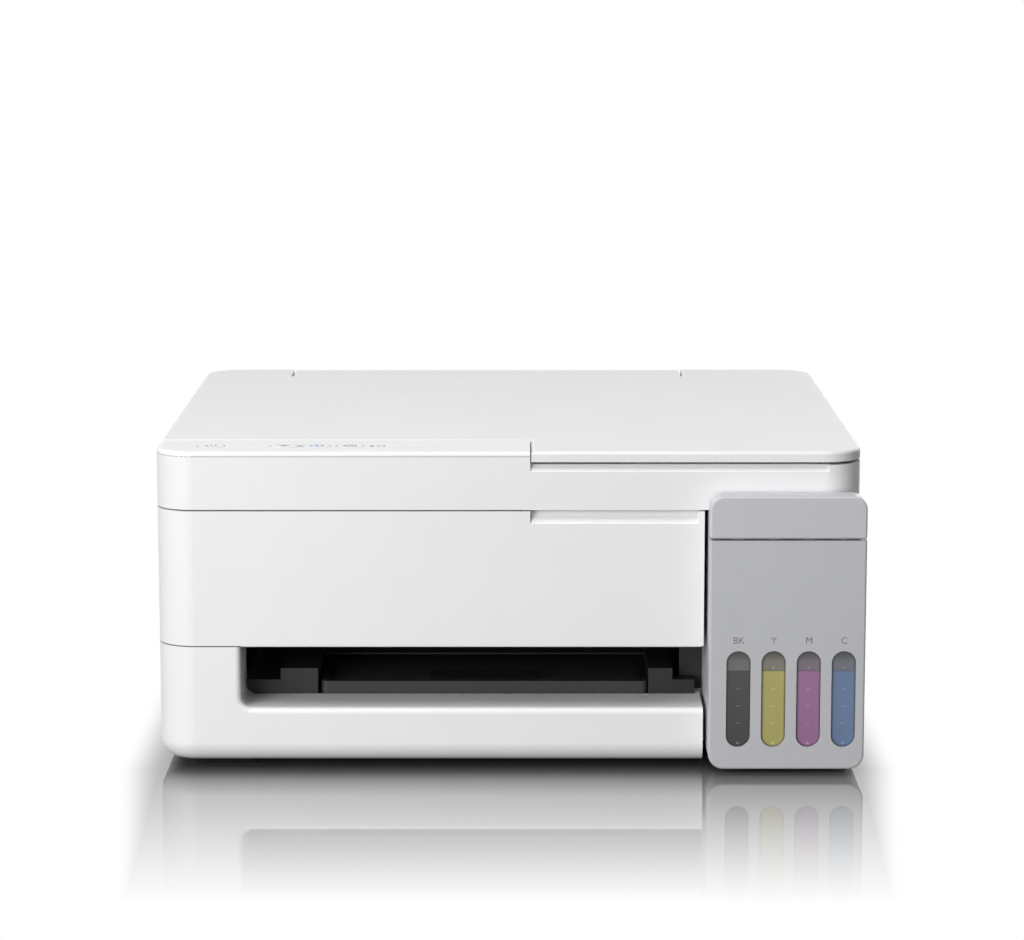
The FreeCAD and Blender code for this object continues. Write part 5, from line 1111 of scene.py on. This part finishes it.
@dataclass
class PrintEngine:
    """Carriage, belt drive, rollers and gears."""

    felt_corner: float = 2.0 * MM
    felt_edge: float = 0.8 * MM
    felt_fill: float = 1.0

    def build(self) -> None:
        """Dress the engine and make the waste ink felt."""
        dress({"main_frame": SHEET_STEEL, "guide_shaft": SHAFT_STEEL, "print_carriage": ENGINE_BLACK,
               "print_head": SHEET_STEEL, "timing_belt": FOOT_RUBBER, "drive_pulley": BRASS,
               "tension_pulley": GEAR_ACETAL, "drive_motors": SHEET_STEEL, "encoder_strip": ENCODER_FILM,
               "feed_roller": ROLLER_METAL, "eject_roller": ROLLER_RUBBER, "idler_gear": GEAR_ACETAL,
               "motor_pinion": BRASS, "roller_holders": ENGINE_BLACK, "pinch_rollers": ROLLER_RUBBER,
               "star_wheels": SHEET_STEEL, "platen": ENGINE_BLACK, "cap_station": INNER_GREY})
        soft_block("waste_ink_pad", "waste_ink_felt", INK_FELT, Body.BASE, self.felt_corner, self.felt_edge)


@dataclass
class Electrics:
    """Main board and power supply with their sockets."""

    def build(self) -> None:
        """Dress the boards."""
        dress({"main_board": BOARD, "power_supply": PORT_BLACK})


@dataclass(frozen=True)
class Lamp:
    """A square lamp that looks at the printer."""

    name: str
    place: tuple[float, float, float]
    size: float
    power: float


@dataclass
class Studio:
    """Floor, lights, background and the camera."""

    camera_place: tuple[float, float, float] = (1.4 * MM, -1855.2 * MM, 438.1 * MM)
    camera_tilt: float = 80.763
    lens: float = 114.83
    sensor: float = 36.0
    far: float = 200.0
    floor_half: float = 40.0
    glow: float = 0.14
    aim_height: float = 80 * MM
    lamps: tuple[Lamp, ...] = (
        Lamp("front_light", (-1.05, -1.85, 0.5), 1.2, 35.0),
        Lamp("top_light", (-0.3, -0.5, 1.75), 1.2, 17.5),
        Lamp("back_light", (1.2, 1.9, 0.8), 1.4, 12.0),
    )

    def build(self) -> None:
        """Set the studio up."""
        self.lay_floor()
        self.light_world()
        for lamp in self.lamps:
            self.hang(lamp)
        self.set_camera()
        bpy.context.scene.view_settings.view_transform = "Standard"

    def lay_floor(self) -> None:
        """Lay the floor under the feet."""
        mesh = bmesh.new()
        bmesh.ops.create_grid(mesh, x_segments=1, y_segments=1, size=self.floor_half)
        data = bpy.data.meshes.new("floor")
        mesh.to_mesh(data)
        mesh.free()
        data.materials.append(FLOOR.material())
        floor = bpy.data.objects.new("floor", data)
        bpy.context.scene.collection.objects.link(floor)

    def light_world(self) -> None:
        """Light softly from all round, with a white background for what sees it directly."""
        world = bpy.data.worlds.new("studio_world")
        world.use_nodes = True
        bpy.context.scene.world = world
        graph = Graph(world.node_tree)
        glow = graph.node("ShaderNodeBackground", None, {"Color": (1.0, 1.0, 1.0), "Strength": self.glow})
        white = graph.node("ShaderNodeBackground", None, {"Color": (1.0, 1.0, 1.0), "Strength": 1.0})
        mixed = graph.node("ShaderNodeMixShader", None, {0: graph.seen(), 1: glow.out(), 2: white.out()})
        graph.node("ShaderNodeOutputWorld", None, {"Surface": mixed.out()})

    def hang(self, lamp: Lamp) -> None:
        """Hang a lamp and turn it to the printer."""
        light = bpy.data.lights.new(lamp.name, "AREA")
        light.size = lamp.size
        light.energy = lamp.power
        shown = bpy.data.objects.new(lamp.name, light)
        shown.location = lamp.place
        aim = Vector((0.0, 0.0, self.aim_height)) - Vector(lamp.place)
        shown.rotation_euler = aim.to_track_quat("-Z", "Y").to_euler()
        bpy.context.scene.collection.objects.link(shown)

    def set_camera(self) -> None:
        """Stand the camera where the photograph was taken from."""
        lens = bpy.data.cameras.new("camera")
        lens.sensor_width = self.sensor
        lens.lens = self.lens
        lens.clip_end = self.far
        camera = bpy.data.objects.new("camera", lens)
        camera.location = self.camera_place
        camera.rotation_euler = (math.radians(self.camera_tilt), 0.0, 0.0)
        bpy.context.scene.collection.objects.link(camera)
        bpy.context.scene.camera = camera


def main() -> None:
    """Build every sub-assembly in order, then the studio."""
    logging.basicConfig(level=logging.INFO, format="%(name)s: %(message)s")
    for part in (Case(), InkStation(), Controls(), Scanner(), Feeder(), PaperExit(), PrintEngine(),
                 Electrics(), Studio()):
        LOG.info("building %s", type(part).__name__)
        part.build()


if __name__ == "__main__":
    main()
